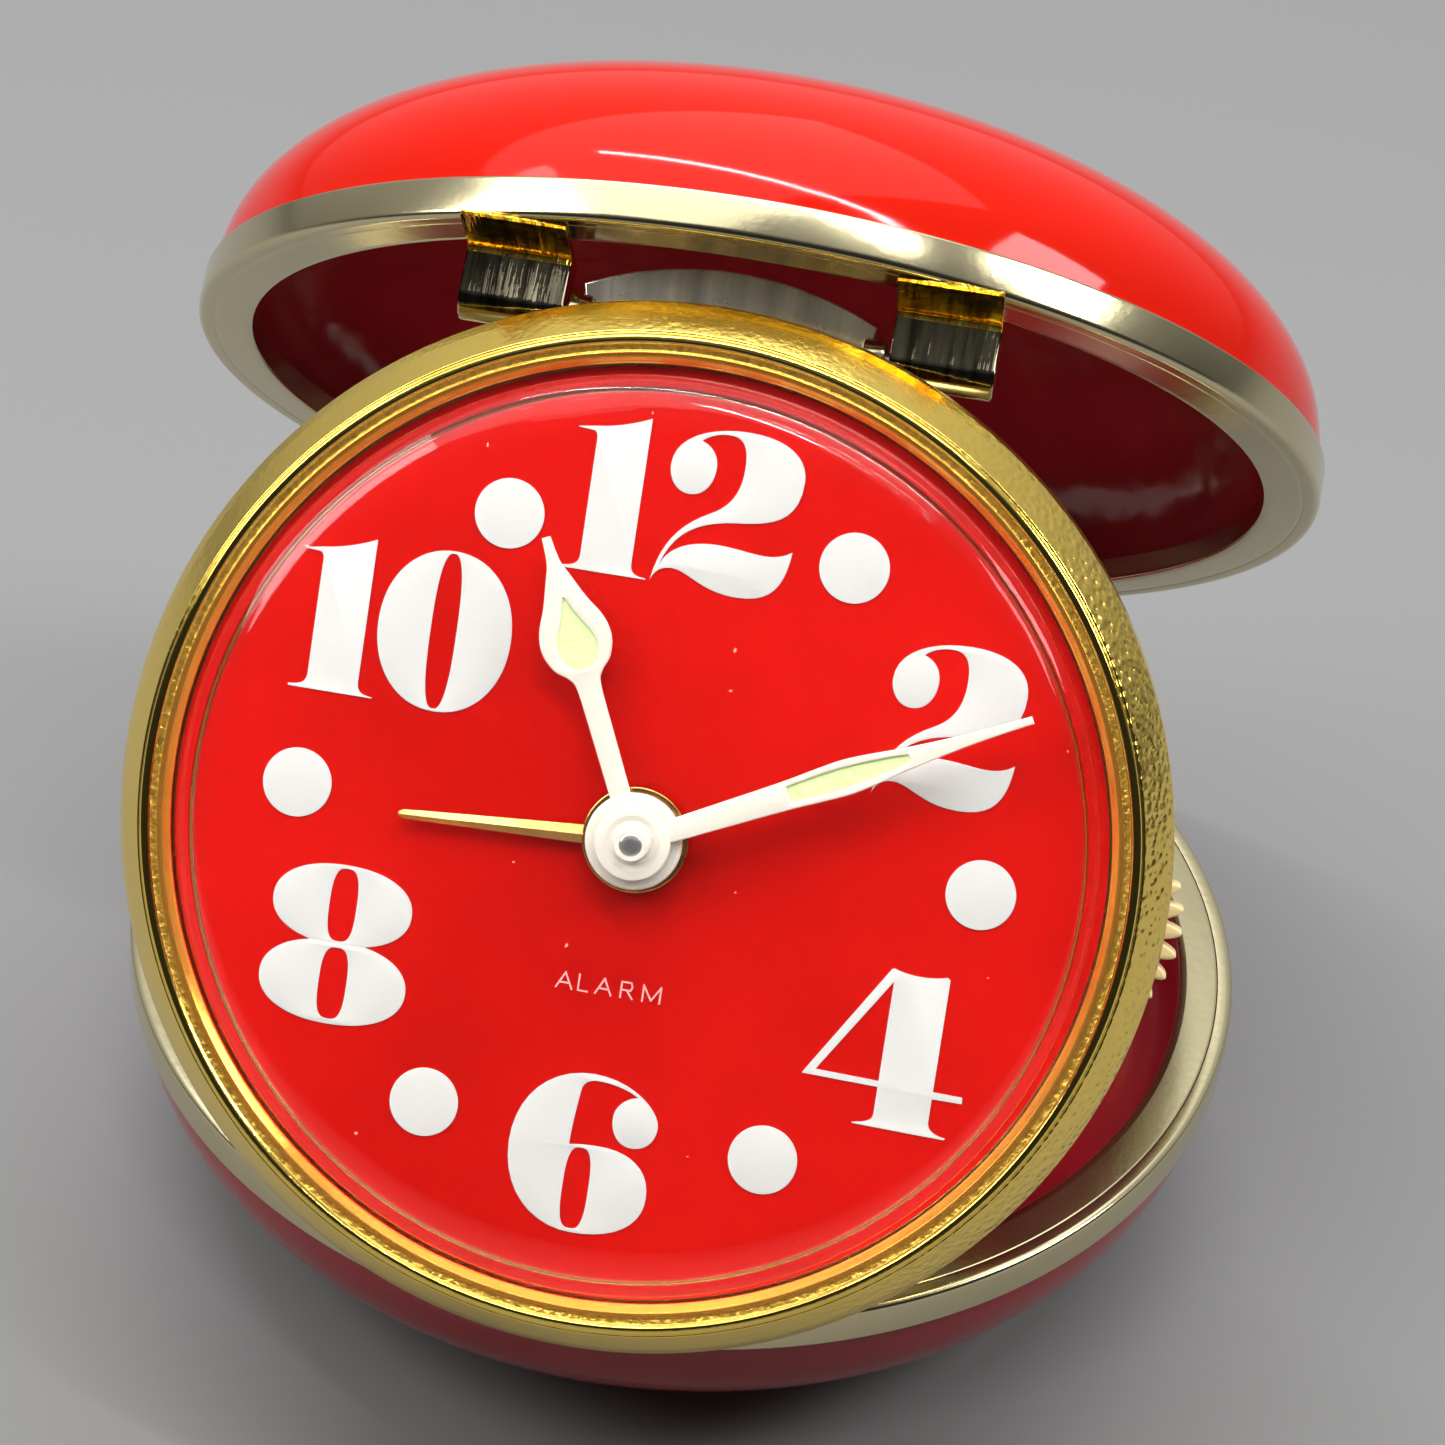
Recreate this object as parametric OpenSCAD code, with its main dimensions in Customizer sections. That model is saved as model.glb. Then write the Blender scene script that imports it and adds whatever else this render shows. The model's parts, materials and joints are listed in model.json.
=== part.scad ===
// Folding travel alarm clock: two round halves hinged at the back, with a wind-up clock hinged in the lid.
// Open, it stands as an A-frame: the base lies flat, the lid leans up and back to front, and the clock hangs
// from the lid's free edge with its case resting in the front of the base.
// Millimetres. Z is up, the dial faces -Y, the origin is the centre of the base's flat foot.

/* [Stand] */
// Outer diameter of the metal rims
rim_d = 80; // [79:0.25:81]
// Width of the flat face of each rim
rim_face = 3.9; // [3.6:0.1:4.2]
// Height of the metal band round each rim
band_h = 2.75; // [2.5:0.05:3]
// Depth of the lid from its rim to the top of its dome
dome_h = 20; // [19.5:0.25:21]
// Roundness of the domes: 2 is an ellipse, more is squarer
dome_n = 2.25; // [2:0.05:2.6]
// Wall thickness of the plastic domes
wall = 1.6; // [1.4:0.1:1.8]
// Height of the base's rim face above the table
base_h = 18.7; // [18.4:0.1:19]
// Angle of the open lid above the base, in degrees
lid_angle = 51; // [50.5:0.25:51.5]
// Angle between the open lid and the clock, in degrees
clock_angle = 70.5; // [70:0.25:71]

/* [Clock case] */
// Outer diameter of the bezel
bezel_d = 66.8; // [66:0.2:67.2]
// Outer diameter of the drum behind the bezel
drum_d = 60.2; // [60:0.1:60.3]
// How far the back of the drum lies behind the dial
drum_back = 17.6; // [17.6:0.1:18.2]
// Outer diameter of the dial
dial_d = 58.9; // [58.6:0.1:58.9]
// Diameter of each round hour marker
dot_d = 4.37; // [4:0.1:4.8]

/* [Hands] */
// Length of the minute hand from the centre
minute_len = 25.9; // [24:0.1:26]
// Length of the hour hand from the centre
hour_len = 19.6; // [18:0.1:21]
// Length of the alarm hand from the centre
alarm_len = 15; // [13:0.1:17]
// Minutes shown at rest
shown_minute = 10.6; // [0:0.1:59.9]
// Hour shown at rest
shown_hour = 11; // [0:1:11]
// Time the alarm hand points to, in hours
alarm_time = 8.9; // [0:0.1:11.9]

/* [Hidden] */
$fn = 96;
eps = 0.01;

rim_r = rim_d / 2;
rim_in = rim_r - rim_face;
rim_t = 0.8;
dome_r = rim_r - 0.5;
skirt_r = rim_r - rim_t;
rear_gap = 2.2;                 // from the rims' edge back to the axis of the rear hinge
rear_y = rim_r + rear_gap;
barrel_r = 1.5;                 // hinge barrels
rear_pin_r = 0.6;
play = 0.05;                    // running clearance round every shaft

block_in = 10.5;                // hinge blocks: nearest and furthest from the middle
block_out = 17.25;
block_face = 32;                // front face of the blocks, from the lid's centre
axis_y = block_face - barrel_r; // the clock's hinge in the lid: from its centre, and below its rim face
axis_w = 3.4;
flange_t = 0.4;
clock_pin_r = 0.7;
hinge_up = 31.4;                // the clock's hinge in the clock: above the dial's centre, and behind the dial
hinge_back = 9;

drum_r = drum_d / 2;
drum_in = drum_r - 0.8;
bezel_r = bezel_d / 2;
bezel_back = -4.8;
lip_r = 29;                     // opening of the bezel
dial_t = 0.4;
plate_r = 28;
front_z = -5;                   // rear face of the front plate
back_z = -13;                   // front face of the back plate
plate_t = 1;
cover_t = 1;

// Gear data: teeth and modules
cannon_n = 14;
minute_n = 42;
minute_m = 0.5;
minute_pinion_n = 14;
hour_n = 56;
hour_m = 0.4;
set_n = 8;
alarm_n = 40;
idler_n = 28;
alarm_m = 0.5;
great_n = 72;
centre_pinion_n = 12;
great_m = 0.35;
centre_n = 60;
centre_m = 0.3;
third_n = 64;
third_m = 0.25;
fourth_n = 60;
fourth_m = 0.2;
leaf_n = 8;                     // leaves of the third, fourth and escape pinions
escape_n = 15;
escape_r = 3.5;

// Places in the movement, as [distance from the centre, angle]
minute_dir = -7;
motion_a = (cannon_n + minute_n) * minute_m / 2;
minute_at = polar(motion_a, minute_dir);
time_set_a = motion_a + (minute_n + set_n) * minute_m / 2;
time_set_at = polar(time_set_a, minute_dir);
alarm_set_dir = 30;
alarm_set_a = 25.5;
alarm_set_at = polar(alarm_set_a, alarm_set_dir);
idler_a = (alarm_n + idler_n) * alarm_m / 2;
idler_b = (idler_n + set_n) * alarm_m / 2;
idler_dir = alarm_set_dir
    + acos((idler_a * idler_a + alarm_set_a * alarm_set_a - idler_b * idler_b) / (2 * idler_a * alarm_set_a));
idler_at = polar(idler_a, idler_dir);
barrel_dir = 225;
barrel_at = polar((great_n + centre_pinion_n) * great_m / 2, barrel_dir);
third_dir = 100;
third_at = polar((centre_n + leaf_n) * centre_m / 2, third_dir);
fourth_dir = 20;
fourth_at = third_at + polar((third_n + leaf_n) * third_m / 2, fourth_dir);
escape_dir = -60;
escape_at = fourth_at + polar((fourth_n + leaf_n) * fourth_m / 2, escape_dir);
lever_at = escape_at + polar(5.2, -30);
balance_at = lever_at + polar(6, -50);
balance_r = 5.2;
alarm_barrel_at = polar(20.5, 165);
alarm_barrel_r = 6.5;
alarm_great_n = 44;
alarm_pinion_n = 8;
star_dir = 65;
star_n = 10;
star_r = 2.6;
star_at = alarm_barrel_at + polar((alarm_great_n + alarm_pinion_n) * centre_m / 2, star_dir);
hammer_at = polar(21, 120);
stop_at = polar(22, 92);
pillar_r = 25.2;
pillar_dirs = [58, 138, 268, 328];
screw_dirs = [70, 190, 310];
screw_a = 27.2;

// Shaft radii
arbor_r = 0.5;
cannon_r = 0.9;
hour_pipe_r = 1.45;
alarm_pipe_r = 2;
set_arbor_r = 0.8;
key_arbor_r = 1.2;
pivot_r = 0.35;

// Front and back of each hand, above the dial
alarm_hand_z = 0.6;
hour_hand_z = 1.3;
minute_hand_z = 2.1;
hand_t = 0.35;

function polar(r, a) = [r * cos(a), r * sin(a)];
function inv(a) = tan(a) - a * PI / 180;
// Half the angle of a tooth at radius r, on an involute of base radius rb that is half_p wide at the pitch circle
function tooth_half(r, rb, half_p, pa) = half_p + (inv(pa) - inv(acos(min(1, rb / r)))) * 180 / PI;
// The turn that brings gear 2 into mesh with gear 1, whose own turn is rot1, in the direction dir from 1 to 2
function mesh_turn(dir, rot1, n1, n2) = dir + 180 - (rot1 - dir) * n1 / n2 + 180 / n2;

// Spur gear outline with 28 degree involute teeth
module gear_outline(n, m) {
    pa = 28;
    r = n * m / 2;
    rb = r * cos(pa);
    tip = r + 0.85 * m;
    root = r - 1.15 * m;
    half_p = 79 / n;
    low = max(rb, root);
    mid = (low + tip) / 2;
    polygon([for (i = [0:n - 1], s = [-1, 1], k = [0:2])
        let(rr = s < 0 ? [root, low, mid][k] : [tip, mid, low][k],
            side = s < 0 ? -1 : 1,
            a = i * 360 / n + side * tooth_half(max(rr, low), rb, half_p, pa))
        each (s < 0 && k == 2 ? [polar(rr, a), polar(tip, i * 360 / n - tooth_half(tip, rb, half_p, pa))]
            : s > 0 && k == 2 ? [polar(rr, a), polar(root, a)] : [polar(rr, a)])]);
}

module gear(n, m, z, t, hole) {
    translate([0, 0, z]) linear_extrude(t) difference() {
        gear_outline(n, m);
        circle(hole);
    }
}

// Four-armed wheel: a gear with its web cut away between the arms
module wheel(n, m, z, t, hole) {
    r = n * m / 2;
    translate([0, 0, z]) linear_extrude(t) difference() {
        gear_outline(n, m);
        circle(hole);
        difference() {
            circle(r - 3 * m);
            circle(r * 0.28);
            for (a = [0, 90]) rotate(a) square([2 * r, r * 0.16], center = true);
        }
    }
}

module shaft(r, z1, z2) translate([0, 0, z1]) cylinder(r = r, h = z2 - z1);
module tube(ro, ri, z1, z2) translate([0, 0, z1]) difference() {
    cylinder(r = ro, h = z2 - z1);
    translate([0, 0, -1]) cylinder(r = ri, h = z2 - z1 + 2);
}

// Frames of the lid and of the clock. In the lid, +Y runs back to the rear hinge and +Z is out of the dome.
// In the clock, +Y runs up to twelve and +Z comes out of the dial.
lid_y = rear_y - rear_y * cos(lid_angle);
lid_z = base_h + rear_y * sin(lid_angle);
module at_lid() translate([0, lid_y, lid_z]) rotate([-lid_angle, 0, 0]) children();
lean = 180 - lid_angle - clock_angle;
pivot_y = lid_y - axis_y * cos(lid_angle) - axis_w * sin(lid_angle);
pivot_z = lid_z + axis_y * sin(lid_angle) - axis_w * cos(lid_angle);
clock_y = pivot_y - hinge_up * cos(lean) - hinge_back * sin(lean);
clock_z = pivot_z - hinge_up * sin(lean) + hinge_back * cos(lean);
module at_clock() translate([0, clock_y, clock_z]) rotate([lean, 0, 0]) children();
module at_base() translate([0, 0, base_h]) mirror([0, 0, 1]) children();

// One half of the outer round form, from the band up: a superellipse, cut flat at the height top
function dome(r, h, top) = [for (a = [0:5:90])
    [r * pow(max(cos(a), 0), 2 / dome_n), min(band_h + h * pow(sin(a), 2 / dome_n), top)]];

module shell_half(top) rotate_extrude() polygon(concat(
    [[skirt_r - wall, rim_t], [skirt_r, rim_t], [skirt_r, band_h]],
    [for (p = dome(dome_r, dome_h - band_h, top)) p],
    [for (i = [len(dome(1, 1, 1)) - 1:-1:0]) dome(skirt_r - wall, dome_h - band_h - wall, top - wall)[i]]));

// Metal rim: flat face with a rounded outer edge, a band round the outside and a lip round the opening
module rim() rotate_extrude() polygon(concat(
    [[rim_in, 0.15], [rim_in + 0.15, 0]],
    [for (a = [0:15:90]) [rim_r - 0.7 + 0.7 * sin(a), 0.7 - 0.7 * cos(a)]],
    [[rim_r, band_h - 0.2], [rim_r - 0.2, band_h], [skirt_r, band_h], [skirt_r, rim_t],
     [rim_in + 0.6, rim_t], [rim_in + 0.6, 1.9], [rim_in + 0.1, 1.9], [rim_in, 1.8]]));

// Leaf of the rear hinge: a curved plate on the band and knuckles round the axis at rim height
module hinge_leaf(knuckles, hole) difference() {
    union() {
        intersection() {
            tube(rim_r + 0.5, rim_r, 0.1, 2.5);
            translate([-9, 30, 0]) cube([18, 20, 3]);
        }
        for (k = knuckles) difference() {
            union() {
                translate([k[0], rear_y, 0]) rotate([0, 90, 0]) cylinder(r = barrel_r, h = k[1] - k[0]);
                translate([k[0], rim_r - 2, 0.15]) cube([k[1] - k[0], rear_gap + 2, barrel_r - 0.15]);
            }
            translate([0, 0, -3]) cylinder(r = rim_r, h = 6);
        }
    }
    translate([-20, rear_y, 0]) rotate([0, 90, 0]) cylinder(r = hole, h = 40);
}

module base_bowl() color([0.78, 0.06, 0.05]) at_base() shell_half(base_h);
module base_rim() color([0.8, 0.76, 0.58]) at_base() rim();
module base_hinge_leaf() color([0.8, 0.76, 0.58]) at_base() hinge_leaf([[-9, -4], [4, 9]], rear_pin_r);
module rear_hinge_pin() color([0.7, 0.7, 0.7])
    translate([-9.4, rear_y, base_h]) rotate([0, 90, 0]) cylinder(r = rear_pin_r, h = 18.8);

module flange_outline(room) intersection() {
    translate([block_in - room, -rim_r]) square([block_out - block_in + 2 * room, rim_r - block_face + 2 * barrel_r]);
    circle(rim_r - 1.1 + room);
}
module lid_dome() color([0.95, 0.13, 0.04]) at_lid() shell_half(dome_h);
module lid_rim() color([0.8, 0.76, 0.58]) at_lid() difference() {
    rim();
    for (s = [0, 1]) mirror([s, 0, 0]) translate([0, 0, -1]) linear_extrude(1 + flange_t) flange_outline(play);
}
module lid_hinge_leaf() color([0.8, 0.76, 0.58]) at_lid() hinge_leaf([[-3.9, 3.9]], rear_pin_r + play);

// Folded block on the lid's rim that carries one end of the clock's hinge
module hinge_block() difference() {
    union() {
        linear_extrude(flange_t) flange_outline(0);
        translate([block_in, -block_face, -axis_w]) cube([block_out - block_in, 2 * barrel_r, axis_w]);
        translate([block_in, -axis_y, -axis_w]) rotate([0, 90, 0])
            cylinder(r = barrel_r, h = block_out - block_in);
    }
    translate([block_in - 1, -axis_y, -axis_w]) rotate([0, 90, 0])
        cylinder(r = clock_pin_r + play, h = 6.5);
}
module hinge_block_right() color([0.83, 0.66, 0.25]) at_lid() hinge_block();
module hinge_block_left() color([0.83, 0.66, 0.25]) at_lid() mirror([1, 0, 0]) hinge_block();

// Clock case
module bezel() color([0.8, 0.65, 0.2]) at_clock() rotate_extrude() polygon(concat(
    [[drum_r, bezel_back], [bezel_r - 0.4, bezel_back], [bezel_r, bezel_back + 0.4], [bezel_r, -1.7],
     [bezel_r - 0.1, -1.35], [bezel_r - 0.4, -1.05], [bezel_r - 2.4, 1.35]],
    [for (a = [-15:15:195]) [30.3 + 0.72 * cos(a), 1.7 + 0.72 * sin(a)]],
    [[lip_r + 0.05, 0.95], [lip_r + 0.05, 0.05], [dial_d / 2 + 0.05, 0.05], [dial_d / 2 + 0.05, -dial_t],
     [drum_r, -dial_t]]));

function glass(r, h) = [for (a = [0:6:90]) [r * pow(max(cos(a), 0), 0.5), 0.9 + h * pow(sin(a), 0.5)]];
module crystal() color([0.9, 0.95, 1, 0.3]) at_clock() rotate_extrude() polygon(concat(
    [[27.6, 0.05], [lip_r, 0.05], [lip_r, 0.9]], glass(28.5, 3.4),
    [for (i = [15:-1:0]) glass(27.6, 2.5)[i]]));

module dial() color([0.87, 0.02, 0.02]) at_clock() tube(dial_d / 2, alarm_pipe_r + 0.3, -dial_t, 0);
module hour_dots() color([0.92, 0.92, 0.88]) at_clock() for (h = [1:2:11])
    rotate(-30 * h) translate([0, 21.7, 0]) cylinder(d = dot_d, h = 0.1, $fn = 48);

module drum() color([0.7, 0.62, 0.35]) at_clock() tube(drum_r, drum_in, -drum_back, -dial_t);
module back_cover() color([0.72, 0.72, 0.7]) at_clock() difference() {
    union() {
        shaft(drum_r, -drum_back - cover_t, -drum_back);
        tube(drum_in - play, drum_in - 0.6, -drum_back, -drum_back + 2);
    }
    for (h = [[barrel_at, key_arbor_r], [alarm_barrel_at, key_arbor_r], [time_set_at, set_arbor_r],
              [alarm_set_at, set_arbor_r], [stop_at, 1.4]])
        translate([h[0].x, h[0].y, -25]) cylinder(r = h[1] + 2 * play, h = 10);
    for (a = screw_dirs) translate([polar(screw_a, a).x, polar(screw_a, a).y, -25]) cylinder(r = 0.8, h = 10);
    translate([balance_at.x, balance_at.y, -25]) linear_extrude(10) regulator_slot();
}
module regulator_slot() intersection() {
    difference() {
        circle(7.2);
        circle(4.2);
    }
    polygon([[0, 0], [-9, 4.5], [-9, -4.5]]);
}
module cover_screws() color([0.75, 0.72, 0.6]) at_clock() for (a = screw_dirs) rotate(a)
    translate([screw_a, 0, 0]) difference() {
        union() {
            shaft(0.75, -drum_back - cover_t, back_z - plate_t);
            shaft(1.4, -drum_back - cover_t - 0.6, -drum_back - cover_t);
        }
        translate([-2, -0.2, -drum_back - cover_t - 1]) cube([4, 0.4, 0.7]);
    }

// Steel plate on top of the drum, round-topped, with a lug at each end that holds a hinge pin
module hinge_bracket() color([0.62, 0.62, 0.6]) at_clock() difference() {
    union() {
        translate([0, 0, -8.9]) linear_extrude(0.8) difference() {
            intersection() {
                translate([0, 35.9 - 22]) circle(22);
                translate([-8.7, 20]) square([17.4, 20]);
            }
            circle(drum_r);
        }
        for (s = [-1, 1]) difference() {
            union() {
                translate([s * 9.45 - 0.75, hinge_up, -hinge_back]) rotate([0, 90, 0])
                    cylinder(r = 1.6, h = 1.5);
                translate([s * 9.45 - 0.75, 27, -hinge_back - 1.6]) cube([1.5, hinge_up - 27, 3.2]);
            }
            shaft(drum_r, -20, 0);
        }
    }
    for (s = [-1, 1]) translate([s * 9.5 - 1.5, hinge_up, -hinge_back]) rotate([0, 90, 0])
        cylinder(r = clock_pin_r, h = 3);
}
module clock_hinge_pins() color([0.7, 0.7, 0.7]) at_clock() for (s = [0, 1]) mirror([s, 0, 0])
    translate([8.75, hinge_up, -hinge_back]) rotate([0, 90, 0]) cylinder(r = clock_pin_r, h = 6.7);

// Movement frame
module arbor_holes(r_list) for (h = r_list) translate([h[0].x, h[0].y, -20]) cylinder(r = h[1], h = 20);
train_holes = [[[0, 0], arbor_r + play], [barrel_at, key_arbor_r + play], [third_at, pivot_r + play],
    [fourth_at, pivot_r + play], [escape_at, pivot_r + play], [lever_at, pivot_r + play],
    [balance_at, pivot_r + play], [alarm_barrel_at, key_arbor_r + play], [hammer_at, pivot_r + play],
    [star_at, pivot_r + play],
    [time_set_at, set_arbor_r + play], [alarm_set_at, set_arbor_r + play]];
module front_plate() color([0.82, 0.68, 0.32]) at_clock() difference() {
    shaft(plate_r, front_z, front_z + plate_t);
    arbor_holes(train_holes);
}
module back_plate() color([0.82, 0.68, 0.32]) at_clock() difference() {
    shaft(plate_r, back_z - plate_t, back_z);
    arbor_holes(train_holes);
}
module plate_pillars() color([0.8, 0.66, 0.3]) at_clock() for (a = pillar_dirs) rotate(a)
    translate([pillar_r, 0, 0]) shaft(1.2, back_z, front_z);

// Hands. Each outline points along +Y.
function hand_turn(hours) = -30 * hours;
now_hour = shown_hour + shown_minute / 60;
module minute_hand() color([0.93, 0.92, 0.86]) at_clock() rotate(-6 * shown_minute)
    translate([0, 0, minute_hand_z]) linear_extrude(hand_t) difference() {
        union() {
            circle(2.4);
            polygon([[0.8, -0.2], [1.25, 17.5], [0.12, minute_len], [-0.12, minute_len], [-1.25, 17.5], [-0.8, -0.2]]);
        }
        circle(cannon_r);
    }
module hour_hand() color([0.93, 0.92, 0.86]) at_clock() rotate(hand_turn(now_hour))
    translate([0, 0, hour_hand_z]) linear_extrude(hand_t) difference() {
        union() {
            circle(3.05);
            polygon([[0.75, 0], [0.95, 8], [0.12, hour_len], [-0.12, hour_len], [-0.95, 8], [-0.75, 0]]);
            translate([0, 13]) circle(2.2);
        }
        circle(hour_pipe_r);
    }
module alarm_hand() color([0.75, 0.6, 0.25]) at_clock() rotate(hand_turn(alarm_time))
    translate([0, 0, alarm_hand_z]) linear_extrude(hand_t) difference() {
        union() {
            circle(3.3);
            polygon([[0.55, 0], [0.2, alarm_len], [-0.2, alarm_len], [-0.55, 0]]);
        }
        circle(alarm_pipe_r);
    }

// Motion work between the dial and the front plate
module cannon_pinion() color([0.75, 0.72, 0.65]) at_clock() {
    gear(cannon_n, minute_m, -3.8, 0.9, arbor_r + play);
    difference() {
        shaft(cannon_r, -2.9, minute_hand_z + hand_t + 0.7);
        shaft(arbor_r + play, -3, minute_hand_z + hand_t);
    }
}
module hour_wheel() color([0.82, 0.68, 0.32]) at_clock() {
    rotate(mesh_turn(minute_dir + 180, 0, minute_pinion_n, hour_n))
        gear(hour_n, hour_m, -2.7, 0.6, hour_pipe_r - 0.5);
    tube(hour_pipe_r, cannon_r + play, -2.1, hour_hand_z + hand_t);
}
minute_turn = mesh_turn(minute_dir, 0, cannon_n, minute_n);
module minute_wheel() color([0.82, 0.68, 0.32]) at_clock() translate([minute_at.x, minute_at.y, 0]) {
    rotate(minute_turn) gear(minute_n, minute_m, -3.7, 0.7, pivot_r);
    gear(minute_pinion_n, hour_m, -3, 1, pivot_r);
    shaft(pivot_r, -3.9, -2);
}
module alarm_wheel() color([0.82, 0.68, 0.32]) at_clock() {
    gear(alarm_n, alarm_m, -1.6, 0.6, hour_pipe_r + play);
    tube(alarm_pipe_r, hour_pipe_r + play, -1, alarm_hand_z + hand_t);
}
idler_turn = mesh_turn(idler_dir, 0, alarm_n, idler_n);
idler_to_set = atan2(alarm_set_at.y - idler_at.y, alarm_set_at.x - idler_at.x);
module alarm_idler() color([0.82, 0.68, 0.32]) at_clock() translate([idler_at.x, idler_at.y, 0]) {
    rotate(idler_turn) gear(idler_n, alarm_m, -1.6, 0.6, pivot_r);
    shaft(pivot_r, -3.9, -0.9);
}

// Knurled thumb wheels on the back, and the arbors they turn
module knurled(r, teeth, t) linear_extrude(t) union() {
    circle(r - 0.9);
    for (i = [0:teeth - 1]) rotate(i * 360 / teeth) translate([r - 1.1, 0]) scale([1, 0.55]) circle(1.1, $fn = 24);
}
knob_front = -drum_back - cover_t - 0.3;
module time_set_knob() color([0.94, 0.88, 0.7]) at_clock()
    translate([time_set_at.x, time_set_at.y, knob_front - 2]) difference() {
        knurled(8.6, 34, 2);
        translate([0, 0, -1]) cylinder(r = set_arbor_r, h = 4);
    }
module time_set_arbor() color([0.75, 0.72, 0.65]) at_clock() translate([time_set_at.x, time_set_at.y, 0]) {
    shaft(set_arbor_r, knob_front - 2, -3.9);
    rotate(mesh_turn(minute_dir, minute_turn, minute_n, set_n)) gear(set_n, minute_m, -3.9, 1, pivot_r);
    shaft(pivot_r, -3.9, -2.9);
}
module alarm_set_knob() color([0.94, 0.88, 0.7]) at_clock()
    translate([alarm_set_at.x, alarm_set_at.y, knob_front - 2]) difference() {
        knurled(7, 28, 2);
        translate([0, 0, -1]) cylinder(r = set_arbor_r, h = 4);
    }
module alarm_set_arbor() color([0.75, 0.72, 0.65]) at_clock() translate([alarm_set_at.x, alarm_set_at.y, 0]) {
    shaft(set_arbor_r, knob_front - 2, -1.7);
    rotate(mesh_turn(idler_to_set, idler_turn, idler_n, set_n)) gear(set_n, alarm_m, -1.7, 0.8, pivot_r);
    shaft(pivot_r, -1.7, -0.9);
}

// Winding keys: a boss and two wings
module key(z) difference() {
    union() {
        shaft(2.2, z - 3.5, z);
        translate([0, 0, z - 3.5]) linear_extrude(0.9) for (s = [-1, 1]) hull() {
            translate([s * 1.6, 0]) circle(1.2, $fn = 32);
            translate([s * 4.6, 0]) circle(2.1, $fn = 32);
        }
    }
    shaft(key_arbor_r, z - 2.5, z + 1);
}
key_z = -drum_back - cover_t - 0.3;
module time_key() color([0.83, 0.7, 0.36]) at_clock() translate([barrel_at.x, barrel_at.y, 0]) rotate(35) key(key_z);
module alarm_key() color([0.83, 0.7, 0.36]) at_clock()
    translate([alarm_barrel_at.x, alarm_barrel_at.y, 0]) rotate(-20) {
        key(key_z);
        difference() {
            shaft(key_arbor_r, key_z - 2.5, -5.2);
            shaft(0.4, key_z - 5, key_z - 4);
        }
    }
module barrel_arbor() color([0.72, 0.72, 0.7]) at_clock() translate([barrel_at.x, barrel_at.y, 0])
    shaft(key_arbor_r, key_z - 2.5, front_z + 0.6);

// Going train between the plates
centre_turn = 0;
module barrel() color([0.82, 0.68, 0.32]) at_clock() translate([barrel_at.x, barrel_at.y, 0]) {
    rotate(mesh_turn(barrel_dir, 0, centre_pinion_n, great_n))
        gear(great_n, great_m, -12.7, 0.6, key_arbor_r + play);
    difference() {
        shaft(11.2, -12.4, -7.3);
        shaft(10.6, -11.6, -7.8);
        shaft(key_arbor_r + play, -20, 0);
    }
}
module mainspring() color([0.45, 0.47, 0.52]) at_clock() translate([barrel_at.x, barrel_at.y, -11.4])
    linear_extrude(3.4) spiral(1.6, 10.3, 7, 0.3);
// Flat spiral strip from radius r1 to r2 in a number of turns, t thick
module spiral(r1, r2, turns, t) polygon(concat(
    [for (i = [0:turns * 20]) polar(r1 + (r2 - r1) * i / (turns * 20), i * 18)],
    [for (i = [turns * 20:-1:0]) polar(r1 + t + (r2 - r1) * i / (turns * 20), i * 18)]));
module centre_wheel() color([0.82, 0.68, 0.32]) at_clock() {
    wheel(centre_n, centre_m, -6.7, 0.6, arbor_r);
    gear(centre_pinion_n, great_m, -12.8, 0.9, arbor_r);
    shaft(arbor_r, back_z - plate_t - 0.2, minute_hand_z);
}
module train_arbor(at) translate([at.x, at.y, 0]) {
    shaft(pivot_r, back_z - plate_t - 0.2, front_z + plate_t + 0.05);
    children();
}
third_turn = mesh_turn(third_dir, centre_turn, centre_n, leaf_n);
module third_wheel() color([0.82, 0.68, 0.32]) at_clock() train_arbor(third_at) {
    rotate(third_turn) gear(leaf_n, centre_m, -7.2, 1.6, pivot_r);
    wheel(third_n, third_m, -10, 0.5, pivot_r);
}
module fourth_wheel() color([0.82, 0.68, 0.32]) at_clock() train_arbor(fourth_at) {
    rotate(mesh_turn(fourth_dir, 0, third_n, leaf_n)) gear(leaf_n, third_m, -10.3, 1.1, pivot_r);
    wheel(fourth_n, fourth_m, -7.9, 0.5, pivot_r);
}
module escape_wheel() color([0.82, 0.68, 0.32]) at_clock() train_arbor(escape_at) {
    rotate(mesh_turn(escape_dir, 0, fourth_n, leaf_n)) gear(leaf_n, fourth_m, -8.2, 1.1, pivot_r);
    translate([0, 0, -11.2]) linear_extrude(0.5) difference() {
        polygon([for (i = [0:escape_n - 1], k = [0:1])
            polar(k == 0 ? escape_r : escape_r - 0.9, i * 360 / escape_n + k * 5)]);
        circle(pivot_r);
    }
}
lever_to_escape = atan2(escape_at.y - lever_at.y, escape_at.x - lever_at.x);
lever_to_balance = atan2(balance_at.y - lever_at.y, balance_at.x - lever_at.x);
module pallet_lever() color([0.75, 0.75, 0.75]) at_clock() train_arbor(lever_at)
    translate([0, 0, -11.3]) linear_extrude(0.7) difference() {
        union() {
            circle(0.9, $fn = 32);
            rotate(lever_to_balance) translate([0, -0.25]) square([4, 0.5]);
            for (s = [-1, 1]) rotate(lever_to_escape + s * 62) translate([0, -0.3]) square([2.9, 0.6]);
            for (s = [-1, 1]) rotate(lever_to_escape) translate([1.05, s * 2.6 - 0.25]) square([0.95, 0.5]);
        }
        circle(pivot_r);
    }
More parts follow.
